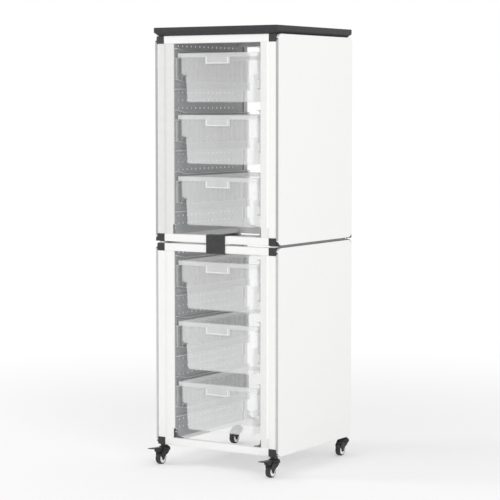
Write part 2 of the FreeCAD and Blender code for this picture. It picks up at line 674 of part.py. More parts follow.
def tray(level, step):
    """Clear moulded tray: turned-down rim, shouldered body, finger pull under the front rim."""
    name = f"bin_{level}_{step + 1}"
    body = new_body(name + "_body")
    wide = f"({RIM_HALF} - tray_inset)"
    end_in = "(tray_inset + draft_end)"
    lap = "tray_wall - shoulder_drop"
    rim = new_sketch(body, name + "_rim_outline", "XY_Plane", "-rim_height")
    soft_corners(rim, f"-{RIM_HALF}", RIM_HALF, "0", "rim_length", "rim_round")
    extrude("Pad", body, name + "_rim", rim, "rim_height")

    # Solid form of the upper part, then of the narrower lower part
    foot = tray_outline(body, name + "_upper_foot", "-shoulder_drop", f"{wide} - draft_side", end_in,
                        "tray_round")
    head = tray_outline(body, name + "_upper_head", "-rim_height / 2", wide, "tray_inset", "tray_round")
    loft("Additive", body, name + "_upper", foot, head)
    foot = tray_outline(body, name + "_lower_foot", "-tray_height", f"{wide} - bottom_step",
                        "tray_inset + tray_slope", "tray_round")
    head = tray_outline(body, name + "_lower_head", lap, f"{wide} - shoulder_step", end_in, "tray_round")
    loft("Additive", body, name + "_lower", foot, head)

    # The hollow, one wall inside the form
    inner_round = "(tray_round - tray_wall)"
    foot = tray_outline(body, name + "_well_foot", lap, f"{wide} - draft_side - tray_wall",
                        f"{end_in} + tray_wall", inner_round)
    head = tray_outline(body, name + "_well_head", "0", f"{wide} - tray_wall", "tray_inset + tray_wall",
                        inner_round)
    loft("Subtractive", body, name + "_well", foot, head)
    foot = tray_outline(body, name + "_deep_foot", "tray_wall - tray_height",
                        f"{wide} - bottom_step - tray_wall", "tray_inset + tray_slope + tray_wall",
                        inner_round)
    head = tray_outline(body, name + "_deep_head", f"{lap} + draft_side",
                        f"{wide} - shoulder_step - tray_wall", f"{end_in} + tray_wall", inner_round)
    loft("Subtractive", body, name + "_deep", foot, head)

    # The groove between the rim's skirt and the body
    groove = tray_outline(body, name + "_groove_outline", "-rim_height", f"({RIM_HALF} - tray_wall)",
                          "tray_wall", "(rim_round - tray_wall)")
    soft_corners(groove, f"-{wide}", wide, "tray_inset", "(rim_length - tray_inset)", "tray_round")
    extrude("Pocket", body, name + "_groove", groove, "rim_height - tray_wall", back=True)
    pull(body, name)
    place(body, "0", f"{FRONT} + rim_front", f"{MODULE_LOW[level]} + {RIM_LOW} + 2 * {step} * half_pitch")
    return node(body, name)


def clip(end):
    """Channel that hooks over the rails on both sides of the gap between the modules."""
    sign = ENDS[end]
    body = new_body(f"{end}_clip_body")
    outline = new_sketch(body, f"{end}_clip_section", "YZ_Plane", "-clip_width / 2")
    face = "depth / 2"
    rear = "depth / 2 - tube_side"
    low = "-tube_side - module_gap / 2"
    high = "tube_side + module_gap / 2"
    corners = [(f"{face} + clip_thick", f"{low} - clip_thick"),
               (f"{face} + clip_thick", f"{high} + clip_thick"),
               (f"{rear} - clip_thick", f"{high} + clip_thick"),
               (f"{rear} - clip_thick", f"{high} - clip_hook"),
               (rear, f"{high} - clip_hook"), (rear, high), (face, high), (face, low), (rear, low),
               (rear, f"{low} + clip_hook"), (f"{rear} - clip_thick", f"{low} + clip_hook"),
               (f"{rear} - clip_thick", f"{low} - clip_thick")]
    polygon(outline, [(f"{sign} * ({across})", up) for across, up in corners])
    extrude("Pad", body, f"{end}_clip_channel", outline, "clip_width")
    place(body, "0", MIDDLE_Y, f"{MODULE_LOW['upper']} - module_gap / 2")
    return node(body, f"{end}_clip")


def stacking_studs():
    """Black spacers with a square stud that locate the upper module on the lower one."""
    studs = []
    for side, sx in SIDES.items():
        for end, sy in ENDS.items():
            name = f"stud_{side}_{end}"
            pieces = []
            for tag, half, low, high in (("collar", "collar_side / 2", "-module_gap", "0"),
                                         ("peg", "stud_side / 2", "-module_gap - stud_depth", "stud_depth")):
                across = (f"{sx} * {TUBE_X} - {half}", f"{sx} * {TUBE_X} + {half}")
                along = (f"{sy} * {TUBE_Y} - {half}", f"{sy} * {TUBE_Y} + {half}")
                pieces.append(box(f"{name}_{tag}", across, along, (low, high)))
            studs.append(fuse(name, pieces))
    together = group("stacking_stud_group", studs)
    place(together, "0", MIDDLE_Y, MODULE_LOW["upper"])
    return node(together, "stacking_studs")


def caster_stems():
    """Threaded stem of each caster with its nut and its lower head."""
    stems = []
    plate_low = f"{HOUSING_TOP} - plate_thick"
    for side, sx in SIDES.items():
        for end, sy in ENDS.items():
            name = f"stem_{side}_{end}"
            middle = (f"{sx} * {TUBE_X}", f"{sy} * {TUBE_Y}")
            shank = prism(name + "_shank", STEM_SIDES, "stem_radius",
                          f"{CASTER_TOP} + tube_side - ({plate_low})", *middle, f"{plate_low} - {CUT_PAST}")
            nut = prism(name + "_nut", 6, "nut_radius", "nut_height", *middle, f"{CASTER_TOP} - nut_height")
            head = prism(name + "_head", 8, "stem_radius + stem_head", "stem_head", *middle,
                         f"{plate_low} - slide_clear - stem_head")
            stems.append(fuse(name, [shank, nut, head]))
    together = group("caster_stem_group", stems)
    place(together, "0", MIDDLE_Y, "0")
    return node(together, "caster_stems")


ARM_IN = "(wheel_width / 2 + arm_gap)"
ARM_OUT = "(wheel_width / 2 + arm_gap + arm_thick)"
ACROSS = FreeCAD.Rotation(FreeCAD.Vector(0, 1, 0), 90)


def set_caster(item, side, end):
    """Puts a caster piece, drawn about its swivel axis on the floor, under its corner."""
    return place(item, f"{SIDES[side]} * {TUBE_X}", f"{MIDDLE_Y} + {ENDS[end]} * {TUBE_Y}", "0")


def pedal_seat(body, name):
    """Slot through the housing for the brake pedal, and a stub on each side for it to turn on."""
    slot = new_sketch(body, name + "_slot_outline", "XY_Plane", f"{HOUSING_TOP} - housing_height")
    slot_rear = "pedal_barrel + pedal_side_gap - pedal_pivot_out"
    polygon(slot, [(f"-{ARM_IN}", f"-housing_radius - {CUT_PAST}"), (ARM_IN, f"-housing_radius - {CUT_PAST}"),
                   (ARM_IN, slot_rear), (f"-{ARM_IN}", slot_rear)])
    extrude("Pocket", body, name + "_slot", slot, f"housing_height + {CUT_PAST}", back=True)
    for tag, plate_at, stub_at in (("left", f"-{ARM_OUT}", f"-{ARM_IN}"),
                                   ("right", ARM_IN, f"{ARM_IN} - trunnion_length")):
        plate = new_sketch(body, f"{name}_lug_outline_{tag}", "YZ_Plane", plate_at)
        lug_top = f"{HOUSING_TOP} - arm_head_drop"
        polygon(plate, [("-pedal_pivot_out - lug_side", f"{PEDAL_UP} - lug_side"),
                        ("-lug_rear", f"{PEDAL_UP} - lug_side"), ("-lug_rear", lug_top),
                        ("-pedal_pivot_out - lug_slope", lug_top)])
        extrude("Pad", body, f"{name}_lug_{tag}", plate, "arm_thick")
        stub = new_sketch(body, f"{name}_stub_outline_{tag}", "YZ_Plane", stub_at)
        six_sides(stub, "-pedal_pivot_out", PEDAL_UP, "trunnion_radius")
        extrude("Pad", body, f"{name}_stub_{tag}", stub, "trunnion_length")


def fork(side, end):
    """Swivel housing with two curved arms down to the axle."""
    name = f"fork_{end}_{side}"
    body = new_body(name + "_body")
    section = new_sketch(body, name + "_section", "XZ_Plane")
    bore = "stem_radius + run_clear"
    inside = "housing_radius - housing_skirt"
    low = f"{HOUSING_TOP} - housing_height"
    plate_low = f"{HOUSING_TOP} - plate_thick"
    polygon(section, [(bore, plate_low), (bore, HOUSING_TOP), ("housing_radius - housing_ease", HOUSING_TOP),
                      ("housing_radius", f"{HOUSING_TOP} - housing_ease"), ("housing_radius", low),
                      (inside, low), (inside, plate_low)])
    revolve(body, name + "_housing", section, "V_Axis")
    arm_top = f"{HOUSING_TOP} - arm_head_drop"
    outline = [("-arm_head_front", arm_top), ("arm_head_rear", arm_top),
               ("arm_heel_rear", "wheel_radius + arm_heel_up"),
               ("-arm_waist_front", "wheel_radius + arm_waist_up"),
               ("boss_radius - caster_trail", "wheel_radius")]
    outline += [(f"{along} * boss_radius - caster_trail", f"wheel_radius + {up} * boss_radius")
                for along, up in BOSS_OUTLINE]
    outline += [("-boss_radius - caster_trail", "wheel_radius"),
                ("-arm_swell - caster_trail", "wheel_radius + arm_swell_low"),
                ("-arm_swell - caster_trail", "wheel_radius + arm_swell_high")]
    for tag, offset in (("left", f"-{ARM_OUT}"), ("right", ARM_IN)):
        arm = new_sketch(body, f"{name}_arm_outline_{tag}", "YZ_Plane", offset)
        polygon(arm, outline)
        extrude("Pad", body, f"{name}_arm_{tag}", arm, "arm_thick")
    hole = new_sketch(body, name + "_axle_hole", "YZ_Plane", f"-{ARM_OUT}")
    half = "(neck_side / 2 + stem_clear)"
    polygon(hole, [(f"-caster_trail - {half}", f"wheel_radius - {half}"),
                   (f"{half} - caster_trail", f"wheel_radius - {half}"),
                   (f"{half} - caster_trail", f"wheel_radius + {half}"),
                   (f"-caster_trail - {half}", f"wheel_radius + {half}")])
    extrude("Pocket", body, name + "_axle_bore", hole, f"2 * {ARM_OUT}", back=True)
    if end == "front":
        pedal_seat(body, name)
    return node(set_caster(body, side, end), name)


def wheel(side, end):
    """Rubber tyre on a light moulded centre with a dished face."""
    corner = f"{end}_{side}"
    tyre = new_body(f"tyre_{corner}_body")
    half = "wheel_width / 2"
    section = new_sketch(tyre, f"tyre_section_{corner}", "XY_Plane")
    seat = "rim_radius + stem_clear"
    shoulder = "wheel_radius - tyre_ease_up"
    polygon(section, [(f"-{half}", seat), (f"-{half}", shoulder),
                      (f"tyre_ease_across - {half}", "wheel_radius"),
                      (f"{half} - tyre_ease_across", "wheel_radius"), (half, shoulder), (half, seat)])
    revolve(tyre, f"tyre_ring_{corner}", section, "H_Axis")
    centre = new_body(f"hub_{corner}_body")
    section = new_sketch(centre, f"hub_section_{corner}", "XY_Plane")
    bore = "axle_radius + run_clear"
    edge = f"({half} - hub_inset)"
    polygon(section, [(f"hub_dish - {edge}", bore), (f"-{edge}", "rim_radius"), (edge, "rim_radius"),
                      (f"{edge} - hub_dish", bore)])
    revolve(centre, f"hub_disc_{corner}", section, "H_Axis")
    for piece, label in ((tyre, "tyre"), (centre, "hub")):
        place(piece, f"{SIDES[side]} * {TUBE_X}", f"{MIDDLE_Y} + {ENDS[end]} * {TUBE_Y} - caster_trail",
              "wheel_radius")
        node(piece, f"{label}_{corner}")


def axle(side, end):
    """Steel pin in the wheel with a square neck in each fork arm and a cap outside it."""
    name = f"axle_{end}_{side}"
    middle = ("-caster_trail", "wheel_radius")
    pieces = [prism(name + "_pin", STEM_SIDES, "axle_radius", f"2 * {ARM_IN}", f"-{ARM_IN}", *middle,
                    turn=ACROSS)]
    along = ("-caster_trail - neck_side / 2", "neck_side / 2 - caster_trail")
    up = ("wheel_radius - neck_side / 2", "wheel_radius + neck_side / 2")
    pieces.append(box(name + "_neck", (f"-{ARM_OUT}", ARM_OUT), along, up))
    for tag, start in (("left", f"-{ARM_OUT} - cap_thick"), ("right", ARM_OUT)):
        pieces.append(prism(f"{name}_cap_{tag}", 8, "boss_radius - hub_inset", "cap_thick", start, *middle,
                            turn=ACROSS))
    return node(set_caster(fuse(name + "_fuse", pieces), side, end), name)


def pedal(side):
    """Brake pedal: a round end on two stubs, a cam above the tyre and a long sloping plate."""
    name = f"brake_pedal_{side}"
    body = new_body(name + "_body")
    half = f"({ARM_IN} - pedal_side_gap)"
    tip = "(pedal_pivot_out - tube_side / 2 - pedal_reach)"
    under = "pedal_rise - pedal_thick"
    corner = f"{0.5 ** 0.5:.4f} * pedal_barrel"
    profile = new_sketch(body, name + "_profile", "YZ_Plane", f"-{half}")
    polygon(profile, [("0", "pedal_barrel"), ("-pedal_brow", "pedal_rise - pedal_brow_drop"),
                      (tip, "pedal_rise"),
                      (tip, under), ("-pedal_neck", f"{under} - pedal_neck_drop"),
                      ("-pedal_heel", "-pedal_heel_drop"), ("-pedal_cam", "-pedal_cam_drop"),
                      ("0", "-pedal_barrel"), (corner, f"-{corner}"), ("pedal_barrel", "0"),
                      (corner, corner)])
    extrude("Pad", body, name + "_plate", profile, f"2 * {half}")
    bore = new_sketch(body, name + "_bore_outline", "YZ_Plane", f"-{half}")
    circle(bore, "0", "0", "trunnion_radius + run_clear")
    extrude("Pocket", body, name + "_bore", bore, f"2 * {half}", back=True)
    place(body, f"{SIDES[side]} * {TUBE_X}", f"{MIDDLE_Y} - {TUBE_Y} - pedal_pivot_out", PEDAL_UP)
    return node(body, name)


def build():
    top()
    for level in MODULE_LOW:
        frame_tubes(level)
        connectors(level, "bottom")
        connectors(level, "top")
        jambs(level)
        for side in SIDES:
            side_panel(level, side)
            wall(level, side)
            runners(level, side)
        for step in range(3):
            tray(level, step)
    for end in ENDS:
        clip(end)
        for side in SIDES:
            fork(side, end)
            wheel(side, end)
            axle(side, end)
    for side in SIDES:
        pedal(side)
    gussets()
    stacking_studs()
    caster_stems()
    doc.recompute()


def check_and_write():
    """Stops on any failed object or bad shape, then writes one file for each sub-part."""
    failed = [item.Name for item in doc.Objects if "Invalid" in item.State or "Error" in item.State]
    if failed:
        raise SystemExit("failed objects: " + ", ".join(failed))
    for item in nodes:
        if item.Shape.isNull() or not item.Shape.isValid():
            raise SystemExit("bad shape: " + item.Label)
    os.makedirs("parts", exist_ok=True)
    for item in nodes:
        item.Shape.exportStep(f"parts/{item.Label}.step")
    print(len(nodes), "sub-parts written")


build()
check_and_write()
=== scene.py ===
import math

import bmesh
import bpy
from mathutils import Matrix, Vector


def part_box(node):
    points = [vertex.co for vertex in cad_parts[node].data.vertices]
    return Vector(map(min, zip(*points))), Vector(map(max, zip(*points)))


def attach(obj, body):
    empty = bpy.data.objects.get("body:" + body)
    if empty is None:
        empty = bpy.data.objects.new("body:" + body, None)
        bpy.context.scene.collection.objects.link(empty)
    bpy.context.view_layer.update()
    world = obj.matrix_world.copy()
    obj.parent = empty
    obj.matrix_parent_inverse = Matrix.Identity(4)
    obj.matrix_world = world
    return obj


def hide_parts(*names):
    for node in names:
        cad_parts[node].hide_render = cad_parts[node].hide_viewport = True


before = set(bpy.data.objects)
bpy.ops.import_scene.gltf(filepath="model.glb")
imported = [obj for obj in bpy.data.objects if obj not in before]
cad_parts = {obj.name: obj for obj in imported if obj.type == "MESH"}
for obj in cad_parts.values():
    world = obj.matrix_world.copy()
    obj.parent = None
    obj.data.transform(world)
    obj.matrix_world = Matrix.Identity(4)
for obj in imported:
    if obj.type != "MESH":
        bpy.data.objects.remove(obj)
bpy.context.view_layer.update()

# A rolling cabinet of two stacked white modules with clear trays. Sizes below are in millimetres,
# and places come from the frame, so every piece sits on the node that it stands for.
MM = 0.001
SIDES = {"left": -1, "right": 1}
ENDS = {"front": -1, "rear": 1}
LEVELS = ("lower", "upper")
TRAYS = (1, 2, 3)
WHITE = (1, 1, 1, 1)


def corners(node):
    """The lowest and highest corners of a node, in millimetres."""
    low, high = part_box(node)
    return [value / MM for value in low], [value / MM for value in high]


# Finishes

CLOUD_GRAINS = 14
CLEAR_FLOW = 30.0
CLEAR_GRAIN = 2.5
CLEAR_IOR = 1.49


def linear(code):
    """An sRGB hex colour as linear values."""
    values = [int(code[step:step + 2], 16) / 255 for step in (1, 3, 5)]
    return [value / 12.92 if value <= 0.04045 else ((value + 0.055) / 1.055) ** 2.4
            for value in values] + [1]


def add(tree, kind, links=None, **settings):
    """Adds a node: settings are its properties, links its inputs by name or number."""
    node = tree.nodes.new("ShaderNode" + kind)
    for name, value in settings.items():
        setattr(node, name, value)
    for name, value in (links or {}).items():
        if isinstance(value, bpy.types.NodeSocket):
            tree.links.new(value, node.inputs[name])
        else:
            node.inputs[name].default_value = value
    return node


def finish(name, ior, glow):
    """A new material with its shader and the piece's own coordinates; its glow is white."""
    material = bpy.data.materials.new(name)
    material.use_nodes = True
    tree = material.node_tree
    tree.nodes.clear()
    shader = add(tree, "BsdfPrincipled", {"IOR": ior, "Emission Color": WHITE, "Emission Strength": glow})
    add(tree, "OutputMaterial", {"Surface": shader.outputs[0]})
    place = add(tree, "TexCoord").outputs["Object"]
    return material, tree, shader, place


def noise(tree, place, grain_mm, detail=3.0, stretch=None):
    """Noise whose lumps are about grain_mm across."""
    if stretch:
        place = add(tree, "Mapping", {"Vector": place, "Scale": stretch}).outputs[0]
    settings = {"Vector": place, "Scale": 1 / (grain_mm * MM), "Detail": detail}
    return add(tree, "TexNoise", settings).outputs[0]


def blend_range(tree, value, low, high):
    """Spreads a noise value over a range of numbers."""
    return add(tree, "MapRange", {0: value, 1: 0.3, 2: 0.7, 3: low, 4: high}).outputs[0]


def blend_colours(tree, value, first, second):
    """Leads from one shade to another over the middle of a noise value."""
    ramp = add(tree, "ValToRGB", {0: value})
    for element, position, code in zip(ramp.color_ramp.elements, (0.35, 0.65), (first, second)):
        element.position = position
        element.color = linear(code)
    return ramp.outputs[0]


def bump(tree, shader, height, depth_mm, strength=0.5):
    """Gives the surface a relief of the given depth."""
    relief = add(tree, "Bump", {"Strength": strength, "Distance": depth_mm * MM, "Height": height})
    tree.links.new(relief.outputs[0], shader.inputs["Normal"])


def moulded(name, first, second, roughness, grain_mm, depth_mm, ior=1.5, glow=0.0):
    """An opaque finish: two close shades in wide clouds, a spread of roughness and a fine relief."""
    material, tree, shader, place = finish(name, ior, glow)
    cloud = noise(tree, place, grain_mm * CLOUD_GRAINS)
    tree.links.new(blend_colours(tree, cloud, first, second), shader.inputs["Base Color"])
    fine = noise(tree, place, grain_mm, 2.0)
    tree.links.new(blend_range(tree, fine, *roughness), shader.inputs["Roughness"])
    bump(tree, shader, fine, depth_mm)
    return material


# White melamine board: a satin film with a faint pearl, drawn coarser than the real 0.3 mm
melamine_white = moulded("melamine_white", "#f3f3f2", "#f4f4f3", (0.4, 0.46), 1.2, 0.02)
# The board's inner face, seen only through the holes: a glow stands for the light behind the sheets
melamine_lit = moulded("melamine_white_lit", "#f7f7f6", "#f8f8f7", (0.4, 0.46), 1.2, 0.02, glow=0.36)
# ABS edging glued round the board: a shade greyer and smoother than the film
edging_grey = moulded("abs_edging_grey", "#acadae", "#b2b3b4", (0.34, 0.42), 1.0, 0.02)
# The lower boards' edging: the same edging painted paler, as painted light
edging_painted_paler = moulded("abs_edging_painted_paler", "#c0c2c3", "#c6c8c9", (0.34, 0.42), 1.0, 0.02)
# White powder coat on steel: the slight orange peel softens its highlights
powder_white = moulded("powder_coat_white", "#f5f5f4", "#f7f7f6", (0.36, 0.44), 1.6, 0.03)
# The same coat a shade deeper, as painted shade: the strips on the right of the opening
powder_strip_painted_shade = moulded("powder_coat_white_strip_painted_shade", "#ebebea", "#eeeeed", (0.36, 0.44), 1.6, 0.03)
# The right strips' outer part, which faces the light
powder_bright = moulded("powder_coat_white_bright", "#fbfbfa", "#fdfdfc", (0.36, 0.44), 1.6, 0.03, glow=0.02)
# A shade deeper again: the upper module's left front, which turns from the light
powder_shade = moulded("powder_coat_white_shade", "#e3e3e2", "#e6e6e5", (0.36, 0.44), 1.6, 0.03)
# Grey powder coat on the perforated sheets, with a trace of the light that comes through the trays;
# on the white front strips' returns the same grey is painted shade
powder_grey_and_painted_shade = moulded("powder_coat_grey_and_painted_shade", "#8e8f91", "#959698", (0.42, 0.52), 1.6, 0.05, glow=0.06)
# Dark laminate on the top: a matt film with a fine speckle
laminate_dark = moulded("laminate_dark_grey", "#353537", "#3a3a3c", (0.5, 0.6), 0.9, 0.03, ior=1.35)
# Glass-filled nylon of the corners, clips and stems: spark-eroded, so it scatters the light. The same black
# is painted shade on the runners' uprights and the hems beside the trays
nylon_black_and_painted_shade = moulded("nylon_black_and_painted_shade", "#2a2a2c", "#333335", (0.46, 0.6), 0.8, 0.05)
# Painted shade of the seam between the modules: a matt grey on the boards' and rails' faces there and on
# strips in the gap; it throws back almost no light
seam_painted_shade = moulded("seam_painted_shade_grey", "#b6b7b8", "#bcbdbe", (0.8, 0.9), 1.2, 0.05, ior=1.05)
# The rear strips' returns, half in shade
powder_return = moulded("powder_coat_return", "#c3c4c5", "#c8c9ca", (0.42, 0.52), 1.6, 0.05)
# Darker grey powder coat of the lower corner webs; on the sheets' hems above and below the trays the same
# dark grey is painted shade of the joint
powder_dark_and_painted_shade = moulded("powder_coat_dark_grey_and_painted_shade", "#6a6b6d", "#707173", (0.42, 0.52), 1.6, 0.05)
# Smoother black nylon of the caster forks
nylon_fork = moulded("nylon_fork_black", "#1e1e20", "#262628", (0.36, 0.48), 1.0, 0.03, ior=1.38)
# Rubber tread, dull and a little dusty
rubber_tyre = moulded("rubber_tyre", "#2b2b2d", "#363638", (0.66, 0.8), 0.7, 0.05)
# Light polypropylene of the wheel centres and the pegs' collars
polypropylene_light = moulded("polypropylene_light", "#f2f2f0", "#f7f7f5", (0.3, 0.4), 1.0, 0.02)


def clear_plastic(name, first, second, face, edge, roughness, glow=0.0):
    """Clear moulded plastic: mostly see-through face on, denser at a glance, its glow painted light."""
    material, tree, shader, place = finish(name, CLEAR_IOR, glow)
    flow = noise(tree, place, CLEAR_FLOW, 2.0, (1, 1, 0.3))
    tree.links.new(blend_colours(tree, flow, first, second), shader.inputs["Base Color"])
    fine = noise(tree, place, CLEAR_GRAIN, 2.0)
    tree.links.new(blend_range(tree, fine, roughness, roughness + 0.08), shader.inputs["Roughness"])
    glance = add(tree, "LayerWeight", {"Blend": 0.35}).outputs["Facing"]
    cover = add(tree, "MapRange", {0: glance, 1: 0.0, 2: 1.0, 3: face, 4: edge}).outputs[0]
    tree.links.new(cover, shader.inputs["Alpha"])
    bump(tree, shader, fine, 0.02, 0.3)
    return material


# Clear polypropylene of the trays: thin walls that whiten what is behind them, with a glow of painted light
# for the light they let through
tray_clear = clear_plastic("tray_clear_polypropylene", "#f6f7f7", "#fbfbfb", 0.14, 0.34, 0.16, glow=0.17)
# The two lowest trays take more light from the floor
tray_clear_low = clear_plastic("tray_clear_polypropylene_low", "#f6f7f7", "#fbfbfb", 0.15, 0.36, 0.16,
                               glow=0.18)
# Thicker plastic of the rims, the pulls and the runners' front faces: more of it is in the light's way
rim_clear = clear_plastic("rim_clear_polypropylene", "#e7e8e8", "#eeeeee", 0.4, 0.75, 0.18)
# Turned edge of the pull, which catches the light
edge_clear = clear_plastic("edge_clear_polypropylene", "#f4f4f4", "#f9f9f9", 0.55, 0.85, 0.2, glow=0.08)
# Painted darkening: the shoulder's left front corner bends the dark wall beside it into view, and this
# darker grey paints that in
shoulder_painted_dark = clear_plastic("shoulder_painted_dark_polypropylene", "#a2a4a5", "#a8aaab", 0.36, 0.66, 0.2)
# Natural polypropylene of the runners, a shade milkier
runner_clear = clear_plastic("runner_natural_polypropylene", "#cfd1d2", "#d9dadb", 0.3, 0.62, 0.24)


# Shapes

SMOOTH_ANGLE = 35
BEVEL_ANGLE = 40


class Solid:
    """Gathers the closed shells of one piece, in millimetres."""

    def __init__(self):
        self.points = []
        self.faces = []
        self.looks = []

    def face(self, numbers, look=0):
        """A face from the numbers of its points; its look is the number of its finish."""
        self.faces.append(numbers)
        self.looks.append(look)

    def paint(self, numbers, look):
        """Gives some faces another finish."""
        for number in numbers:
            self.looks[number] = look

    def loft(self, rings, look=0, closed=False, caps=(0, -1)):
        """Joins rings of points in order, and caps the first and the last unless they join too."""
        count = len(rings[0])
        first = len(self.points)
        for ring in rings:
            self.points += ring
        turns = len(rings) if closed else len(rings) - 1
        for step in range(turns):
            here = first + step * count
            after = first + (step + 1) % len(rings) * count
            for corner in range(count):
                beside = (corner + 1) % count
                self.face((here + corner, here + beside, after + beside, after + corner), look)
        for number in () if closed else caps:
            start = first + number % len(rings) * count
            self.face(tuple(range(start, start + count)), look)

    def extrude(self, outline, axis, low, high, look=0):
        """A flat outline drawn out along an axis."""
        self.loft([[lift(point, axis, height) for point in outline] for height in (low, high)], look)

    def block(self, low, high, look=0):
        """A box between two opposite corners."""
        self.extrude(rectangle(low, high), "z", low[2], high[2], look)

    def turn(self, profile, axis, centre, steps):
        """Turns a closed profile of (along, radius) points about an axis through a centre."""
        rings = []
        for step in range(steps):
            angle = math.tau * step / steps
            ring = []
            for along, radius in profile:
                across = (radius * math.cos(angle), radius * math.sin(angle))
                point = lift(across, axis, along)
                ring.append(tuple(point[number] + centre[number] for number in range(3)))
            rings.append(ring)
        self.loft(rings, closed=True)


def lift(point, axis, height):
    """Puts a flat point in space: the outline's plane is square to the axis."""
    first, second = point
    return {"x": (height, first, second), "y": (first, height, second), "z": (first, second, height)}[axis]


def arc(centre, radius, start, stop, steps):
    """Points along an arc, in degrees."""
    angles = [math.radians(start + (stop - start) * step / steps) for step in range(steps + 1)]
    return [(centre[0] + radius * math.cos(angle), centre[1] + radius * math.sin(angle))
            for angle in angles]


def rectangle(low, high):
    """The corners of a rectangle, from two opposite ones."""
    return [(low[0], low[1]), (high[0], low[1]), (high[0], high[1]), (low[0], high[1])]


def round_box(low, high, radius, steps):
    """A rectangle with round corners. Each corner has steps edges and a straight one after them."""
    inner = rectangle((low[0] + radius, low[1] + radius), (high[0] - radius, high[1] - radius))
    outline = []
    for number in range(4):
        start = -90 + 90 * number
        outline += arc(inner[(number + 1) % 4], radius, start, start + 90, steps)
    return outline


def mirrored(middle, half):
    """A profile about a middle, from its left half: how far out, and the radius there."""
    left = [(middle - out, radius) for out, radius in half]
    return left + [(middle + out, radius) for out, radius in reversed(half)]


def make(name, solid, finishes, body, stands_for, bevel=0.0, smooth=SMOOTH_ANGLE):
    """Makes the object of a piece, gives it its finishes and lets it ride on its body."""
    mesh = bpy.data.meshes.new(name)
    mesh.from_pydata([[value * MM for value in point] for point in solid.points], [], solid.faces)
    for material in finishes:
        mesh.materials.append(material)
    for polygon, look in zip(mesh.polygons, solid.looks):
        polygon.material_index = look
    work = bmesh.new()
    work.from_mesh(mesh)
    bmesh.ops.recalc_face_normals(work, faces=work.faces)
    work.to_mesh(mesh)
    work.free()
    mesh.polygons.foreach_set("use_smooth", [True] * len(mesh.polygons))
    mesh.set_sharp_from_angle(angle=math.radians(smooth))
    piece = bpy.data.objects.new(name, mesh)
    bpy.context.scene.collection.objects.link(piece)
    if bevel:
        edge = piece.modifiers.new("edge", "BEVEL")
        edge.width = bevel * MM
        edge.segments = 2
        edge.limit_method = "ANGLE"
        edge.angle_limit = math.radians(BEVEL_ANGLE)
        edge.harden_normals = True
    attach(piece, body)
    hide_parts(*stands_for)


# Top and side panels

TOP_BEVEL = 11.5
TOP_CORNER = 3.0
TOP_CORNER_LEAST = 2.5
PANEL_CORNER = 20.0
PANEL_EASE = 0.8
CORNER_STEPS = 8
CORNER_EDGES = CORNER_STEPS + 1
# The edging shows on the straight edge after a corner and on the corner's first and last step
EDGING = (0, CORNER_STEPS - 1, CORNER_STEPS)
# The upper boards end a little higher, and these edges of a board's outline face the seam
SEAM_TRIM = 1.7
SEAM_EDGES = {"lower": (15, 16, 17, 18, 19), "upper": (33, 34, 35, 0, 1)}


def tabletop():
    """Dark top: eased upper edge, straight band, slanted underside."""
    low, high = corners("tabletop")
    thick = high[2] - low[2]
    levels = ((0, TOP_BEVEL), (TOP_BEVEL - 0.6, 0.5), (TOP_BEVEL + 0.8, 0), (thick - 1.4, 0),
              (thick - 0.4, 0.4), (thick, 1.5))
    rings = []
    for up, inset in levels:
        outline = round_box((low[0] + inset, low[1] + inset), (high[0] - inset, high[1] - inset),
                            max(TOP_CORNER - inset, TOP_CORNER_LEAST), CORNER_STEPS)
        rings.append([lift(point, "z", low[2] + up) for point in outline])
    solid = Solid()
    solid.loft(rings)
    make("tabletop_board", solid, [laminate_dark], "cabinet", ["tabletop"], smooth=28)


def side_panel(level, side):
    """White board: round corners, grey edging between them, painted shade on the edges at the seam, lit
    inner face.
    """
    node = f"side_panel_{level}_{side}"
    low, high = corners(node)
    if level == "upper":
        low[2] += SEAM_TRIM
    rings = []
    for across, inset in ((low[0], PANEL_EASE), (low[0] + PANEL_EASE, 0), (high[0] - PANEL_EASE, 0),
                          (high[0], PANEL_EASE)):
        outline = round_box((low[1] + inset, low[2] + inset), (high[1] - inset, high[2] - inset),
                            PANEL_CORNER - inset, CORNER_STEPS)
        rings.append([lift(point, "x", across) for point in outline])
    solid = Solid()
    solid.loft(rings)
    for number in range(len(solid.faces) - 2):
        # Edges that face the seam carry painted shade
        if number % (4 * CORNER_EDGES) in SEAM_EDGES[level]:
            solid.looks[number] = 3
        elif number % CORNER_EDGES in EDGING:
            solid.looks[number] = 1
    solid.looks[-1 if side == "left" else -2] = 2
    # The lower boards' edging is painted paler, as painted light
    edging = edging_painted_paler if level == "lower" else edging_grey
    make(f"board_{level}_{side}", solid, [melamine_white, edging, melamine_lit, seam_painted_shade],
         "cabinet", [node])


# Steel frame

TUBE = 25.0
TUBE_ROUND = 3.2
TUBE_STEPS = 5
# Faces of a depth rail that carry the seam's painted shade
SEAM_RAILS = {"lower": range(6, 17), "upper": (*range(18, 24), *range(5))}


def tube(solid, axis, low, high):
    """Square tube with rolled corners between two opposite corners."""
    along = "xyz".index(axis)
    section_low, section_high = ([corner[number] for number in range(3) if number != along]
                                 for corner in (low, high))
    section = round_box(section_low, section_high, TUBE_ROUND, TUBE_STEPS)
    solid.extrude(section, axis, low[along], high[along])


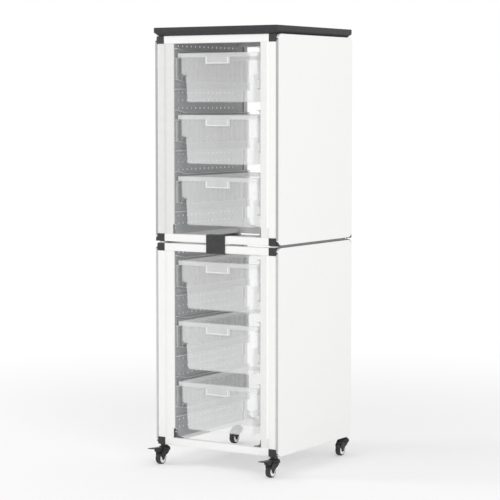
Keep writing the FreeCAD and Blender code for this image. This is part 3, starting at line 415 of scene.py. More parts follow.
def frame_tubes(level):
    """A module's posts, cross rails and depth rails. The upper module's left front post is shaded."""
    node = f"corner_posts_{level}"
    low, high = corners(node)
    posts = Solid()
    for left in (low[0], high[0] - TUBE):
        for front in (low[1], high[1] - TUBE):
            tube(posts, "z", (left, front, low[2]), (left + TUBE, front + TUBE, high[2]))
    if level == "upper":
        posts.paint(range(len(posts.looks) // 4), 1)
    make(f"posts_{level}", posts, [powder_white, powder_shade], "cabinet", [node])
    for end in ENDS:
        node = f"{end}_rails_{level}"
        low, high = corners(node)
        rails = Solid()
        for bottom in (low[2], high[2] - TUBE):
            tube(rails, "x", (low[0], low[1], bottom), (high[0], high[1], bottom + TUBE))
        make(f"{end}_cross_rails_{level}", rails, [powder_white], "cabinet", [node])
    node = f"side_rails_{level}"
    low, high = corners(node)
    rails = Solid()
    for left in (low[0], high[0] - TUBE):
        for bottom in (low[2], high[2] - TUBE):
            first = len(rails.faces)
            tube(rails, "y", (left, low[1], bottom), (left + TUBE, high[1], bottom + TUBE))
            at_seam = (level == "lower") == (bottom > low[2])
            # The rail's faces at the seam carry painted shade
            if at_seam:
                rails.paint([first + number for number in SEAM_RAILS[level]], 1)
    make(f"depth_rails_{level}", rails, [powder_white, seam_painted_shade], "cabinet", [node])


# Inner walls

SHEET = 1.5
FOLD_ROUND = 5.0
FOLD_STEPS = 6
STRIP_OUTER = 10.0
# The return's faces in a strip's section, and how far up the front strips' returns start
RETURN_FACES = (6, 7, 8)
NOTCH = 31.0
HOLE_PITCH = 25.0
HOLE_RADIUS = 3.5
HOLE_STEPS = 12
HOLE_FIRST_COLUMN = 14.0
HOLE_TOP_ROW = 7.0
TOP_MARGIN = 1.0
# The sheet ends this far before its node; the hem of painted shade stands there, and the rear strips'
# returns meet it
REAR_JOINT = 12.0
HEM = 8.0
HEM_REACH = 4.2


def jamb_outline(post_x, wall_x, face_y, meet_y, sign, inward):
    """Section of a folded sheet: a strip, a round fold, and a return along the wall."""
    outer = [(sign * post_x, face_y), (sign * (post_x - STRIP_OUTER), face_y)]
    centre = (sign * (wall_x + FOLD_ROUND), face_y + inward * FOLD_ROUND)
    start, stop = (-90 * inward, -90 * inward - 90 * inward * sign)
    outer += arc(centre, FOLD_ROUND, start, stop, FOLD_STEPS)
    outer.append((sign * wall_x, meet_y))
    inner = [(sign * (wall_x + SHEET), meet_y)]
    inner += arc(centre, FOLD_ROUND - SHEET, stop, start, FOLD_STEPS)
    inner.append((sign * post_x, face_y + inward * SHEET))
    return outer + inner


def front_jamb(level, side):
    """Folded strip beside the opening. Its return starts above the lower corner block."""
    node = f"front_jamb_{level}_{side}"
    low, high = corners(node)
    sign = SIDES[side]
    post_x = max(abs(low[0]), abs(high[0]))
    wall_x = min(abs(low[0]), abs(high[0]))
    solid = Solid()
    outline = jamb_outline(post_x, wall_x, low[1], high[1], sign, 1)
    solid.extrude(outline, "z", low[2] + NOTCH, high[2])
    # The return takes the sheets' grey as painted shade
    solid.paint(RETURN_FACES, 1)
    strip = rectangle((sign * post_x, low[1]), (sign * (wall_x + FOLD_ROUND), low[1] + SHEET))
    solid.extrude(strip, "z", low[2], low[2] + NOTCH)
    if side == "right":
        solid.looks[0] = 2
    # Painted shade: the upper left strip and the right strips take deeper copies of the white coat, and the
    # right strips' outer face a painted highlight
    coat = {"upper_left": powder_shade, "lower_left": powder_white}.get(f"{level}_{side}", powder_strip_painted_shade)
    make(f"front_strip_{level}_{side}", solid, [coat, powder_grey_and_painted_shade, powder_bright],
         "cabinet", [node])


def rear_jambs(level):
    """Folded strips at the back, whose returns end behind the sheets' hems."""
    node = f"rear_jambs_{level}"
    low, high = corners(node)
    wall_x = corners(f"front_jamb_{level}_right")[0][0]
    solid = Solid()
    for sign in SIDES.values():
        first = len(solid.faces)
        outline = jamb_outline(high[0], wall_x, high[1], low[1] + HEM_REACH, sign, -1)
        solid.extrude(outline, "z", low[2], high[2])
        solid.paint([first + number for number in RETURN_FACES], 1)
    make(f"rear_strips_{level}", solid, [powder_white, powder_return], "cabinet", [node])


def grid_lines(start, stop, first, count):
    """The sheet's two edges and, between them, the lines that cut each hole's cell in three."""
    lines = [start]
    for cell in range(count):
        left = first + (cell - 0.5) * HOLE_PITCH
        lines += [left, left + HOLE_PITCH / 3, left + HOLE_PITCH * 2 / 3]
    return lines + [first + (count - 0.5) * HOLE_PITCH, stop]


def perforated_wall(level, side):
    """Sheet with its full grid of round holes, and a hem of painted shade along its rear joint."""
    node = f"inner_wall_{level}_{side}"
    low, high = corners(node)
    high[1] -= REAR_JOINT
    columns = int((high[1] - low[1] - HOLE_FIRST_COLUMN - HOLE_PITCH / 2) // HOLE_PITCH) + 1
    rows = int((high[2] - low[2] - HOLE_TOP_ROW - HOLE_PITCH / 2) // HOLE_PITCH) + 1
    along = grid_lines(low[1], high[1], low[1] + HOLE_FIRST_COLUMN, columns)
    bottom = high[2] - HOLE_TOP_ROW - (rows - 1) * HOLE_PITCH
    up = grid_lines(low[2], high[2], bottom, rows)
    up[-2] = high[2] - TOP_MARGIN
    solid = Solid()
    sheets = []
    for across in (low[0], high[0]):
        numbers = {}
        for row, height in enumerate(up):
            for column, depth in enumerate(along):
                numbers[column, row] = len(solid.points)
                solid.points.append((across, depth, height))
        sheets.append(numbers)
    for row in range(len(up) - 1):
        for column in range(len(along) - 1):
            if 0 < row < len(up) - 2 and 0 < column < len(along) - 2:
                continue
            for numbers in sheets:
                solid.face((numbers[column, row], numbers[column + 1, row], numbers[column + 1, row + 1],
                            numbers[column, row + 1]))
    border = ([(column, 0) for column in range(len(along))]
              + [(len(along) - 1, row) for row in range(1, len(up))]
              + [(column, len(up) - 1) for column in range(len(along) - 2, -1, -1)]
              + [(0, row) for row in range(len(up) - 2, 0, -1)])
    for here, after in zip(border, border[1:] + border[:1]):
        solid.face((sheets[0][here], sheets[0][after], sheets[1][after], sheets[1][here]))
    ring = [(3, 3), (2, 3), (1, 3), (0, 3), (0, 2), (0, 1), (0, 0), (1, 0), (2, 0), (3, 0), (3, 1), (3, 2)]
    for row in range(rows):
        for column in range(columns):
            middle = (low[1] + HOLE_FIRST_COLUMN + column * HOLE_PITCH, bottom + row * HOLE_PITCH)
            circle = arc(middle, HOLE_RADIUS, 45, 405, HOLE_STEPS)[:-1]
            rims = []
            for number, across in enumerate((low[0], high[0])):
                first = len(solid.points)
                solid.points += [lift(point, "x", across) for point in circle]
                rims.append(first)
                edge = [sheets[number][1 + 3 * column + step, 1 + 3 * row + rise] for step, rise in ring]
                for step in range(HOLE_STEPS):
                    beside = (step + 1) % HOLE_STEPS
                    solid.face((edge[step], edge[beside], first + beside, first + step))
            for step in range(HOLE_STEPS):
                beside = (step + 1) % HOLE_STEPS
                solid.face((rims[0] + step, rims[0] + beside, rims[1] + beside, rims[1] + step))
    hem(solid, level, low, high)
    make(f"perforated_sheet_{level}_{side}", solid, [powder_grey_and_painted_shade, powder_dark_and_painted_shade, nylon_black_and_painted_shade],
         "cabinet", [node])


def hem(solid, level, low, high):
    """Hem behind a sheet as painted shade of the joint: dark grey above and below the trays, and black and
    farther back beside them.
    """
    back = high[1] + REAR_JOINT
    foot = low[2]
    for step in TRAYS:
        tray_low, tray_high = corners(f"bin_{level}_{step}")
        top = tray_high[2] - RIM_SKIRT
        solid.block((low[0], back - HEM, foot), (high[0], back, tray_low[2]), 1)
        solid.block((low[0], back - HEM / 2, tray_low[2]), (high[0], back + HEM / 2, top), 2)
        foot = top
    solid.block((low[0], back - HEM, foot), (high[0], back, high[2]), 1)


# Runners

RUNNER_BACK = 3.0
RUNNER_REACH = 12.0
LEDGE = 4.0
LEDGE_EASE = (3.0, 2.0)
LIP_ABOVE = 5.0
LIP = 3.0
FLARE_RISE = 9.0
FLARE_LENGTH = 50.0
# From one channel to the other, how deep a tray's rim hangs, and its play over the ledge
HALF_PITCH = 99.3
RIM_SKIRT = 14.0
SLIDE_CLEAR = 0.3
RIB_PITCH = 27.0
RIB = 2.2
RIB_SHORT = 2.0
STOP = 5.0
STOP_SHORT = 1.0
# The dark upright, painted shade at the runner's back, starts and ends this far before the runner's back
UPRIGHT = (28.0, 25.4)


def runner(solid, side, wall_x, front, back, rim_top):
    """Double runner: back web, two channels flared at the front, ribs, and a dark upright of painted shade.
    """
    sign = SIDES[side]
    inner_face = -1 if side == "left" else -2

    def bar(outline, near, far, look=0, front_faces=()):
        """Extrudes an outline between two distances from the wall; its front faces are thicker."""
        first = len(solid.faces)
        solid.extrude(outline, "x", *sorted((sign * (wall_x - near), sign * (wall_x - far))), look)
        solid.paint([first + number for number in front_faces], 1)

    foot = rim_top - RIM_SKIRT - SLIDE_CLEAR - LEDGE - HALF_PITCH
    head = rim_top + LIP_ABOVE + LIP
    web = [(front, foot), (back, foot), (back, head), (front + FLARE_LENGTH, head),
           (front, head + FLARE_RISE)]
    bar(web, 0, RUNNER_BACK, front_faces=(4,) if side == "right" else ())
    for drop in (0, HALF_PITCH):
        ledge = rim_top - RIM_SKIRT - SLIDE_CLEAR - drop
        lip = rim_top + LIP_ABOVE - drop
        shelf = [(front, ledge - LEDGE), (back, ledge - LEDGE), (back, ledge),
                 (front + LEDGE_EASE[0], ledge), (front, ledge - LEDGE_EASE[1])]
        bar(shelf, RUNNER_BACK, RUNNER_REACH, front_faces=(3, 4))
        solid.looks[inner_face] = 1
        flare = [(front, lip + FLARE_RISE), (front + FLARE_LENGTH, lip), (back, lip), (back, lip + LIP),
                 (front + FLARE_LENGTH, lip + LIP), (front, lip + LIP + FLARE_RISE)]
        bar(flare, RUNNER_BACK, RUNNER_REACH, front_faces=(4, 5))
        solid.looks[inner_face] = 1
        bar(rectangle((back - STOP, ledge), (back, lip)), RUNNER_BACK, RUNNER_REACH - STOP_SHORT)
    rib_low = rim_top + LIP_ABOVE + LIP - HALF_PITCH
    rib_high = rim_top - RIM_SKIRT - SLIDE_CLEAR - LEDGE
    rib_reach = RUNNER_REACH - RIB_SHORT
    count = int((back - front - 2 * RIB) // RIB_PITCH)
    start = (front + back - count * RIB_PITCH) / 2
    for step in range(count + 1):
        middle = start + step * RIB_PITCH
        low = rib_low + max(0, FLARE_RISE * (1 - (middle - front) / FLARE_LENGTH))
        bar(rectangle((middle - RIB / 2, low), (middle + RIB / 2, rib_high)), RUNNER_BACK, rib_reach)
    # A dark upright of painted shade near the runner's back
    bar(rectangle((back - UPRIGHT[0], rib_low), (back - UPRIGHT[1], rib_high)), RUNNER_BACK, rib_reach, 2)


def runners(level, side):
    """The three double runners on one side of a module."""
    node = f"runners_{side}_{level}"
    low, high = corners(node)
    wall_x = max(abs(low[0]), abs(high[0]))
    solid = Solid()
    for step in TRAYS:
        rim_top = corners(f"bin_{level}_{step}")[1][2]
        runner(solid, side, wall_x, low[1], high[1], rim_top)
    make(f"moulded_runners_{level}_{side}", solid, [runner_clear, rim_clear, nylon_black_and_painted_shade],
         "cabinet", [node], bevel=0.5)


# Trays

TRAY_WALL = 2.5
TRAY_STEPS = 7
TRAY_EDGES = 4 * (TRAY_STEPS + 1)
# Bands of faces between a tray's levels: those of the rim, and those of the shoulder inside and outside
RIM_BANDS = 7
SHOULDER_INSIDE = (9, 14)
SHOULDER_OUTSIDE = (4, 9)
PULL_WIDTH = 86.0
PULL_HEIGHT = 21.0
PULL_EDGE = 4.4
PULL_PLATE = (0.9, 2.4)
PULL_DEPTH = 9.2
PULL_JOIN = 0.5


def tray_ring(low, high, side_inset, end_inset, drop, radius):
    """One level of the tray: how far it is in from the rim at the sides and ends."""
    outline = round_box((low[0] + side_inset, low[1] + end_inset),
                        (high[0] - side_inset, high[1] - end_inset), radius, TRAY_STEPS)
    return [lift(point, "z", high[2] - drop) for point in outline]


def tray(level, step):
    """Clear tray with a turned-down rim, a shoulder along the sides and round bottom edges.

    The levels say how far each is in at the sides, in at the ends and down, and its corners' radius.
    """
    node = f"bin_{level}_{step}"
    low, high = corners(node)
    depth = high[2] - low[2]
    inside = (
        (0.3, 0.3, 14.0, 10.7), (0, 0, 13.6, 11), (0, 0, 2.2, 11), (0.5, 0.5, 0.6, 10.5),
        (1.8, 1.8, 0, 9.6), (8.8, 8.8, 0, 9), (10.0, 10.0, 0.5, 8), (10.5, 10.5, 1.8, 7.5),
        (11.2, 12.0, 62, 7.5), (11.6, 12.2, 67, 7.5), (13.2, 12.3, 69, 7.2), (16, 12.4, 69.5, 7),
        (24, 12.4, 69.5, 7), (26.4, 12.6, 70.4, 7), (27.0, 12.7, 73, 7),
        (31.0, 15.0, depth - 8, 7), (31.8, 15.8, depth - 5, 6.6), (33.6, 17.6, depth - 3.1, 5.6),
        (37.0, 21.0, depth - TRAY_WALL, 4.0),
    )
    outside = (
        (36.0, 20.0, depth, 5.0), (31.6, 15.6, depth - 0.8, 7.6), (29.4, 13.4, depth - 3, 9.6),
        (28.8, 12.8, depth - 7, 10), (24.6, 10.2, 75, 10), (24.2, 10.1, 73.2, 10), (22.5, 10.0, 72.1, 10),
        (12.5, 9.9, 72, 10), (10.2, 9.8, 71, 10), (9.2, 9.6, 68, 10), (8.0, 8.0, 4.2, 10),
        (7.2, 7.2, 2.9, 9.6), (6.4, 6.4, 2.5, 9.2), (3.6, 3.6, 2.5, 9), (2.8, 2.8, 3.2, 8.8),
        (2.5, 2.5, 4.4, 8.5), (2.5, 2.5, 13.6, 8.5), (2.2, 2.2, 14.0, 8.8),
    )
    shell = Solid()
    shell.loft([tray_ring(low, high, *values) for values in inside], caps=(-1,))
    outside_first = len(shell.faces)
    shell.loft([tray_ring(low, high, *values) for values in outside], caps=(0,))
    rim_last = len(shell.points) - TRAY_EDGES
    for corner in range(TRAY_EDGES):
        beside = (corner + 1) % TRAY_EDGES
        shell.face((corner, beside, rim_last + beside, rim_last + corner))
    shell.paint(range(RIM_BANDS * TRAY_EDGES), 1)
    # The shoulder's left front corner takes the painted darkening
    for first, bands in ((0, SHOULDER_INSIDE), (outside_first, SHOULDER_OUTSIDE)):
        for band in range(*bands):
            corner_last = first + (band + 1) * TRAY_EDGES - 1
            shell.paint(range(corner_last - TRAY_STEPS, corner_last), 2)
    pull(shell, low, high)
    clear = tray_clear_low if level == "lower" and step < 3 else tray_clear
    make(f"tray_{level}_{step}", shell, [clear, rim_clear, shoulder_painted_dark, edge_clear],
         node, [node], smooth=50)


def pull(shell, low, high):
    """Finger pull: a thin plate under the front rim with a turned edge at each side and below."""
    top = high[2] - RIM_SKIRT + PULL_JOIN
    foot = high[2] - RIM_SKIRT - PULL_HEIGHT
    half = PULL_WIDTH / 2
    front = low[1]
    near, far = PULL_PLATE
    shell.block((-half, front + near, foot), (half, front + far, top), 1)
    for left in (-half, half - PULL_EDGE):
        shell.block((left, front, foot), (left + PULL_EDGE, front + PULL_DEPTH, top), 3)
    shell.block((-half + PULL_EDGE, front, foot), (half - PULL_EDGE, front + near, foot + PULL_EDGE), 3)


# Black corners, clips and brackets

WEB = 3.0
WEB_HOLE = (34.2, 19)
WEB_HOLE_RADIUS = 3.1
BLOCK = 25.0
FACE = 1.0
EAR_OUT = 9.4
# How far the ear's front and back lie behind the block's face, and how thick the raised cover is
EAR_FRONT = 0.9
EAR_BACK = 1.9
COVER = 0.85
COVER_INSET = 0.3
OVERLAP = 3.0
# The lip outside a board's corner: its gap to the board, its gap to the corner, its arc in degrees
LIP_GAP = 0.4
LIP_INSET = 0.2
LIP_START = 20
LIP_ARC = 66
LIP_BAND = 1.2
PEG = 9.0
COLLAR = 18.0
# Thickness of the strips of painted shade in the seam, and their clearance to the rails
SEAM_SHADE_STRIP = 2.5
SEAM_SHADE_STRIP_GAP = 0.1
CLIP = 2.5
CLIP_HOOK = 8.5


def ear_outline(high_side):
    """Front outline of a block and its ear: how far out from the block's side, and how high."""
    if high_side:
        return [(-BLOCK, 0), (-3.5, 0), (4, 5.5), (EAR_OUT, 8.5), (EAR_OUT - 1, 9.5), (0, 13), (0, 22.5),
                (-5, BLOCK - 0.2), (-BLOCK, BLOCK)]
    return [(-BLOCK, 0), (-8, 0), (-1, 4.5), (EAR_OUT, 11), (EAR_OUT - 1, 12), (0, 15.5), (0, BLOCK),
            (-BLOCK, BLOCK)]


def corner_fill(solid, sign_x, sign_y, side_x, edge_y, edge_z, inward, thick=0.0):
    """Moulded lip outside the board's round corner: a band if thick is given, or else all of the corner."""
    centre = (edge_y - sign_y * PANEL_CORNER, edge_z + inward * PANEL_CORNER)
    near = PANEL_CORNER + LIP_GAP
    far = near + thick
    angles = [math.radians(LIP_START + LIP_ARC * step / CORNER_STEPS) for step in range(CORNER_EDGES)]
    along = [(math.cos(angle) * sign_y, -math.sin(angle) * inward) for angle in angles]
    outline = [(centre[0] + near * out, centre[1] + near * up) for out, up in along]
    if thick:
        outline += [(centre[0] + far * out, centre[1] + far * up) for out, up in reversed(along)]
    else:
        outline.append((edge_y - sign_y * LIP_INSET, edge_z + inward * LIP_INSET))
    solid.extrude(outline, "x", *sorted((sign_x * side_x, sign_x * (side_x + EAR_OUT))))


def connectors(level, tag):
    """Four corner blocks: each has an ear over the board, a body behind it and a raised cover."""
    node = f"connectors_{level}_{tag}"
    low, high = corners(node)
    panel_low, panel_high = corners(f"side_panel_{level}_right")
    side_x = panel_low[0]
    bottom = low[2] if tag == "bottom" else high[2] - BLOCK
    ear = ear_outline(tag == "top")
    cover = rectangle((-BLOCK, COVER_INSET), (OVERLAP, BLOCK - COVER_INSET))
    layers = ((ear, EAR_FRONT, EAR_BACK),
              ([(min(out, 0), up) for out, up in ear], EAR_BACK, BLOCK + FACE),
              (cover, 0, COVER))
    solid = Solid()
    for sign_x in SIDES.values():
        for sign_y in ENDS.values():
            edge_y = high[1] if sign_y > 0 else low[1]
            for section, near, far in layers:
                outline = [(sign_x * (side_x + out), bottom + up) for out, up in section]
                solid.extrude(outline, "y", *sorted((edge_y - sign_y * near, edge_y - sign_y * far)))
            board_y = edge_y - sign_y * FACE
            if (level, tag) == ("upper", "bottom"):
                corner_fill(solid, sign_x, sign_y, side_x, board_y, panel_low[2], 1)
            if (level, tag) == ("lower", "top") and sign_y > 0:
                corner_fill(solid, sign_x, sign_y, side_x, board_y, panel_high[2], -1, LIP_BAND)
    make(f"corner_blocks_{level}_{tag}", solid, [nylon_black_and_painted_shade], "cabinet", [node],
         bevel=0.8)


def gussets():
    """Triangular corner webs over the bottom rails. A slit without width leads to each screw hole."""
    low, high = corners("corner_gussets")
    slit = (WEB_HOLE[0], 0)
    edge = [(0, 0), slit]
    edge += arc(WEB_HOLE, WEB_HOLE_RADIUS, 270, -90, 12)
    edge += [slit, (63, 0), (62, 2.4), (50, 4.4), (42, 8), (38.6, 14), (38.4, 22), (36, 26), (27, 31),
             (8, 42), (0, 44)]
    solid = Solid()
    for level in LEVELS:
        bottom = corners(f"corner_posts_{level}")[0][2]
        for sign in SIDES.values():
            for near in (low[1], high[1] - WEB):
                web = [(sign * (high[0] - along), bottom + up) for along, up in edge]
                solid.extrude(web, "y", near, near + WEB, LEVELS.index(level))
    make("corner_webs", solid, [powder_dark_and_painted_shade, powder_grey_and_painted_shade], "cabinet", ["corner_gussets"])


def studs():
    """Pegs between the modules, each with a pale collar in the gap, and a grey strip of painted shade along
    each side.
    """
    low, high = corners("stacking_studs")
    gap_low = corners("side_panel_lower_right")[1][2]
    gap_high = corners("side_panel_upper_right")[0][2]
    inset = (COLLAR - PEG) / 2
    solid = Solid()
    for left in (low[0], high[0] - COLLAR):
        for front in (low[1], high[1] - COLLAR):
            solid.block((left, front, gap_low), (left + COLLAR, front + COLLAR, gap_high), 1)
            solid.block((left + inset, front + inset, low[2]),
                        (left + inset + PEG, front + inset + PEG, high[2]))
    # Painted shade: grey strips that fill the gap between the modules at each side
    for left in (low[0], high[0] - SEAM_SHADE_STRIP):
        solid.block((left, low[1] + COLLAR, gap_low + SEAM_SHADE_STRIP_GAP),
                    (left + SEAM_SHADE_STRIP, high[1] - COLLAR, gap_high - SEAM_SHADE_STRIP_GAP), 2)
    make("module_spacers", solid, [nylon_black_and_painted_shade, polypropylene_light, seam_painted_shade],
         "cabinet", ["stacking_studs"], bevel=0.6)


def stems():
    """Black stems with their collars, one over each caster."""
    low, high = corners("caster_stems")
    solid = Solid()
    shank = [(low[2] + 3, 0.2), (low[2], 1), (low[2], 8), (low[2] + 2.6, 8), (low[2] + 2.6, 4.9),
             (high[2] - 1, 4.9), (high[2], 4), (high[2], 0.2)]
    collar = [(HOUSING_TOP + 0.3, 5.2), (HOUSING_TOP + 0.3, 11.6), (HOUSING_TOP + 2, 12.2),
              (high[2] - 1, 12.2), (high[2] - 0.2, 11.6), (high[2] - 0.2, 5.2)]
    for _, _, (x, y) in caster_places():
        solid.turn(shank, "z", (x, y, 0), 32)
        solid.turn(collar, "z", (x, y, 0), 40)
    make("threaded_stems", solid, [nylon_black_and_painted_shade], "cabinet", ["caster_stems"])


def clip(end):
    """Channel that hooks over the rails on both sides of the gap."""
    node = f"{end}_clip"
    low, high = corners(node)
    face, back = (low[1], high[1]) if end == "front" else (high[1], low[1])
    face_in = face - CLIP * ENDS[end]
    back_in = back + CLIP * ENDS[end]
    outline = [(face, low[2]), (face, high[2]), (back, high[2]), (back, high[2] - CLIP_HOOK),
               (back_in, high[2] - CLIP_HOOK), (back_in, high[2] - CLIP), (face_in, high[2] - CLIP),
               (face_in, low[2] + CLIP), (back_in, low[2] + CLIP), (back_in, low[2] + CLIP_HOOK),
               (back, low[2] + CLIP_HOOK), (back, low[2])]
    solid = Solid()
    solid.extrude(outline, "x", low[0], high[0])
    make(f"{end}_joining_clip", solid, [nylon_black_and_painted_shade], "cabinet", [node], bevel=0.9)


# Casters

CASTER_TRAIL = 20.0
WHEEL = 20.0
WHEEL_STEPS = 56
CENTRE_HALF = 8.8
ARM_INNER = 9.3
ARM_OUTER = 11.8
HOUSING_TOP = 57.0
# The pedal's stub: how far before the stem, how high, and the radius of the pedal's end about it
PEDAL_AHEAD = 17.5
PEDAL_HEIGHT = 47.0
PEDAL_END = 4.5


def caster_places():
    """Each caster's end, side and the place of its stem."""
    for end in ENDS:
        for side in SIDES:
            low, high = corners(f"tyre_{end}_{side}")
            yield end, side, ((low[0] + high[0]) / 2, (low[1] + high[1]) / 2 + CASTER_TRAIL)


def fork(end, side, x, y):
    """Domed swivel housing with two broad arms that narrow to the axle."""
    solid = Solid()
    dome = ((7, 5.05), (0, 5.05), (0, 14), (0.6, 15.6), (2.2, 17.6), (4.5, 19.3), (7, 20), (12, 20),
            (13, 19.4), (13, 17.8), (7, 17.7))
    solid.turn([(HOUSING_TOP - down, radius) for down, radius in dome], "z", (x, y, 0), 48)
    axle = (y - CASTER_TRAIL, WHEEL)
    outline = [(y - 17, HOUSING_TOP - 4), (y + 14, HOUSING_TOP - 4), (y + 15, HOUSING_TOP - 9),
               (y + 13.5, HOUSING_TOP - 15), (y + 9, HOUSING_TOP - 21), (y + 1, HOUSING_TOP - 26),
               (y - 7, WHEEL + 8), (axle[0] + 8.5, WHEEL + 4)]
    outline += arc(axle, 6.5, 0, -180, 12)
    outline += [(axle[0] - 7.5, WHEEL + 4), (axle[0] - 11.5, WHEEL + 8), (axle[0] - 13, WHEEL + 12),
                (axle[0] - 12.4, WHEEL + 18), (axle[0] - 6, WHEEL + 25), (y - 21, HOUSING_TOP - 7)]
    for low, high in ((x - ARM_OUTER, x - ARM_INNER), (x + ARM_INNER, x + ARM_OUTER)):
        solid.extrude(outline, "x", low, high)
    make(f"caster_fork_{end}_{side}", solid, [nylon_fork], f"caster_{end}_{side}",
         [f"fork_{end}_{side}"], bevel=0.5)


def wheel(end, side, x, y):
    """Rubber tread on a light centre with a raised ring, a dished web and a hub boss."""
    axle = (0, y - CASTER_TRAIL, WHEEL)
    body = f"wheel_{end}_{side}"
    tread = Solid()
    half = ((9, 15.6), (9, 17.2), (8.3, 18.8), (6.5, 19.7), (4, 20))
    tread.turn(mirrored(x, half), "x", axle, WHEEL_STEPS)
    make(f"caster_tyre_{end}_{side}", tread, [rubber_tyre], body, [f"tyre_{end}_{side}"])
    centre = Solid()
    half = ((5.5, 3.05), (CENTRE_HALF, 3.05), (CENTRE_HALF, 6.5), (6, 7), (6, 12),
            (CENTRE_HALF - 0.3, 12.6), (CENTRE_HALF, 13.2), (CENTRE_HALF, 15.4))
    centre.turn(mirrored(x, half), "x", axle, WHEEL_STEPS)
    make(f"caster_wheel_centre_{end}_{side}", centre, [polypropylene_light], body,
         [f"hub_{end}_{side}"])


def axle_pin(end, side, x, y):
    """Axle with a rounded cap at each end."""
    solid = Solid()
    half = ((13, 0.4), (12.8, 4.6), (12.2, 5.4), (ARM_OUTER, 5.5), (ARM_OUTER, 2.9))
    solid.turn(mirrored(x, half), "x", (0, y - CASTER_TRAIL, WHEEL), 32)
    make(f"caster_axle_{end}_{side}", solid, [nylon_fork], f"caster_{end}_{side}",
         [f"axle_{end}_{side}"])


def pedal(side, y):
    """Brake pedal: round end, cam over the tyre and a long plate that rises to its tip."""
    node = f"brake_pedal_{side}"
    low, high = corners(node)
    pivot = y - PEDAL_AHEAD
    cam = ((-8, -4.3), (-12, -4.4), (-17, -5.2), (-22.5, -6), (-26, -3), (-28.5, 3), (-34, 8))
    tip = ((1, 11), (0, 12), (0.8, 13.4), (5, 13.2))
    plate = ((-8, 9.3), (-3, 7))
    outline = arc((pivot, PEDAL_HEIGHT), PEDAL_END, 60, -90, 10)
    for start, points in ((pivot, cam), (low[1], tip), (pivot, plate)):
        outline += [(start + along, PEDAL_HEIGHT + up) for along, up in points]
    solid = Solid()
    solid.extrude(outline, "x", low[0], high[0])
    make(f"brake_lever_{side}", solid, [nylon_fork], f"pedal_{side}", [node], bevel=0.5)


# The cabinet

def cabinet():
    """Builds every piece."""
    tabletop()
    for level in LEVELS:
        frame_tubes(level)
        rear_jambs(level)
        connectors(level, "bottom")
        connectors(level, "top")
        for side in SIDES:
            side_panel(level, side)
            front_jamb(level, side)
            perforated_wall(level, side)
            runners(level, side)
        for step in TRAYS:
            tray(level, step)
    for end in ENDS:
        clip(end)
    for end, side, (x, y) in caster_places():
        fork(end, side, x, y)
        wheel(end, side, x, y)
        axle_pin(end, side, x, y)
        if end == "front":
            pedal(side, y)
    gussets()
    studs()
    stems()


# Floor, light and camera, in metres and degrees

FLOOR_HALF = 30.0
FADE_CENTRE = (-0.2, 0.35, 0)
FADE_START = 0.45
FADE_END = 2.6
FLOOR_GLOW = 0.24
ROOM_LIGHT = 0.72
PHOTO_LENS_MM = 134.77
PHOTO_X = 3.2996
PHOTO_AHEAD = 4.9914
PHOTO_ABOVE = 1.1195
PHOTO_DOWN = 4.485
PHOTO_TURN = 32.415


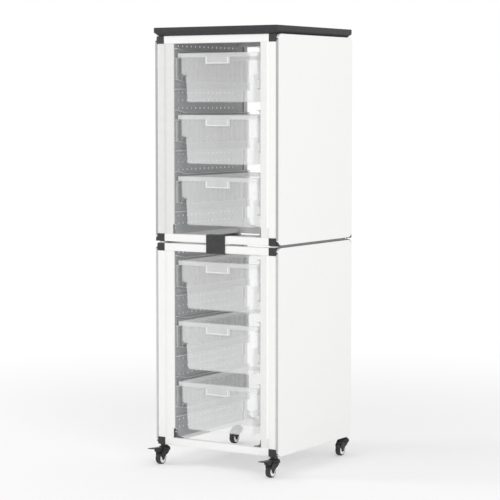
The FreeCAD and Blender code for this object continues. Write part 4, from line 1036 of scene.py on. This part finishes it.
def floor():
    """Pale floor that keeps the soft shadow and fades to white far from the cabinet."""
    mesh = bpy.data.meshes.new("floor")
    edge = rectangle((-FLOOR_HALF, -FLOOR_HALF), (FLOOR_HALF, FLOOR_HALF))
    mesh.from_pydata([lift(point, "z", 0) for point in edge], [], [(0, 1, 2, 3)])
    ground = bpy.data.objects.new("floor", mesh)
    bpy.context.scene.collection.objects.link(ground)
    material = bpy.data.materials.new("floor_pale")
    material.use_nodes = True
    tree = material.node_tree
    tree.nodes.clear()
    place = add(tree, "TexCoord").outputs["Object"]
    back = add(tree, "VectorMath", {0: place, 1: FADE_CENTRE}, operation="SUBTRACT").outputs[0]
    reach = add(tree, "VectorMath", {0: back}, operation="LENGTH").outputs["Value"]
    far = add(tree, "MapRange", {0: reach, 1: FADE_START, 2: FADE_END, 3: 0.0, 4: 1.0},
              interpolation_type="SMOOTHSTEP").outputs[0]
    matt = add(tree, "BsdfDiffuse", {"Color": linear("#e4e4e4")})
    glow = add(tree, "Emission", {"Color": WHITE, "Strength": FLOOR_GLOW})
    near = add(tree, "AddShader", {0: matt.outputs[0], 1: glow.outputs[0]})
    white = add(tree, "Emission", {"Color": WHITE, "Strength": 1.0})
    both = add(tree, "MixShader", {0: far, 1: near.outputs[0], 2: white.outputs[0]})
    add(tree, "OutputMaterial", {"Surface": both.outputs[0]})
    mesh.materials.append(material)


def surroundings():
    """White room: full white to the eye and in reflections, softer as light."""
    world = bpy.data.worlds.new("white_room")
    bpy.context.scene.world = world
    world.use_nodes = True
    tree = world.node_tree
    tree.nodes.clear()
    path = add(tree, "LightPath")
    seen = path.outputs["Is Camera Ray"]
    for kind in ("Is Glossy Ray", "Is Transmission Ray"):
        seen = add(tree, "Math", {0: seen, 1: path.outputs[kind]}, operation="MAXIMUM").outputs[0]
    soft = add(tree, "Background", {"Color": WHITE, "Strength": ROOM_LIGHT})
    bright = add(tree, "Background", {"Color": WHITE, "Strength": 1.0})
    both = add(tree, "MixShader", {0: seen, 1: soft.outputs[0], 2: bright.outputs[0]})
    add(tree, "OutputWorld", {"Surface": both.outputs[0]})


def lamp(name, place, aim, width, power):
    """A round soft lamp that points at a place: its width is in metres and its power in watts."""
    light = bpy.data.lights.new(name, "AREA")
    light.shape = "DISK"
    light.size = width
    light.energy = power
    item = bpy.data.objects.new(name, light)
    item.location = place
    item.rotation_euler = (Vector(aim) - Vector(place)).to_track_quat("-Z", "Y").to_euler()
    bpy.context.scene.collection.objects.link(item)


def camera():
    """The photograph's own view: a long lens at the right front, a little above the middle."""
    view = bpy.data.cameras.new("photo_view")
    view.sensor_width = 36.0
    view.lens = PHOTO_LENS_MM
    view.clip_end = 100
    item = bpy.data.objects.new("photo_view", view)
    front_y = corners("corner_posts_lower")[0][1] * MM
    bottom_z = corners("side_panel_lower_right")[0][2] * MM
    item.location = (PHOTO_X, front_y - PHOTO_AHEAD, bottom_z + PHOTO_ABOVE)
    item.rotation_euler = (math.radians(90 - PHOTO_DOWN), 0, math.radians(PHOTO_TURN))
    bpy.context.scene.collection.objects.link(item)
    bpy.context.scene.camera = item


cabinet()
floor()
surroundings()
lamp("key", (4.6, -2.9, 2.4), (0, 0, 0.7), 3.0, 66)
lamp("left_fill", (-4.0, -2.0, 2.4), (0, 0, 0.6), 1.5, 45)
camera()
bpy.context.scene.view_settings.view_transform = "Standard"
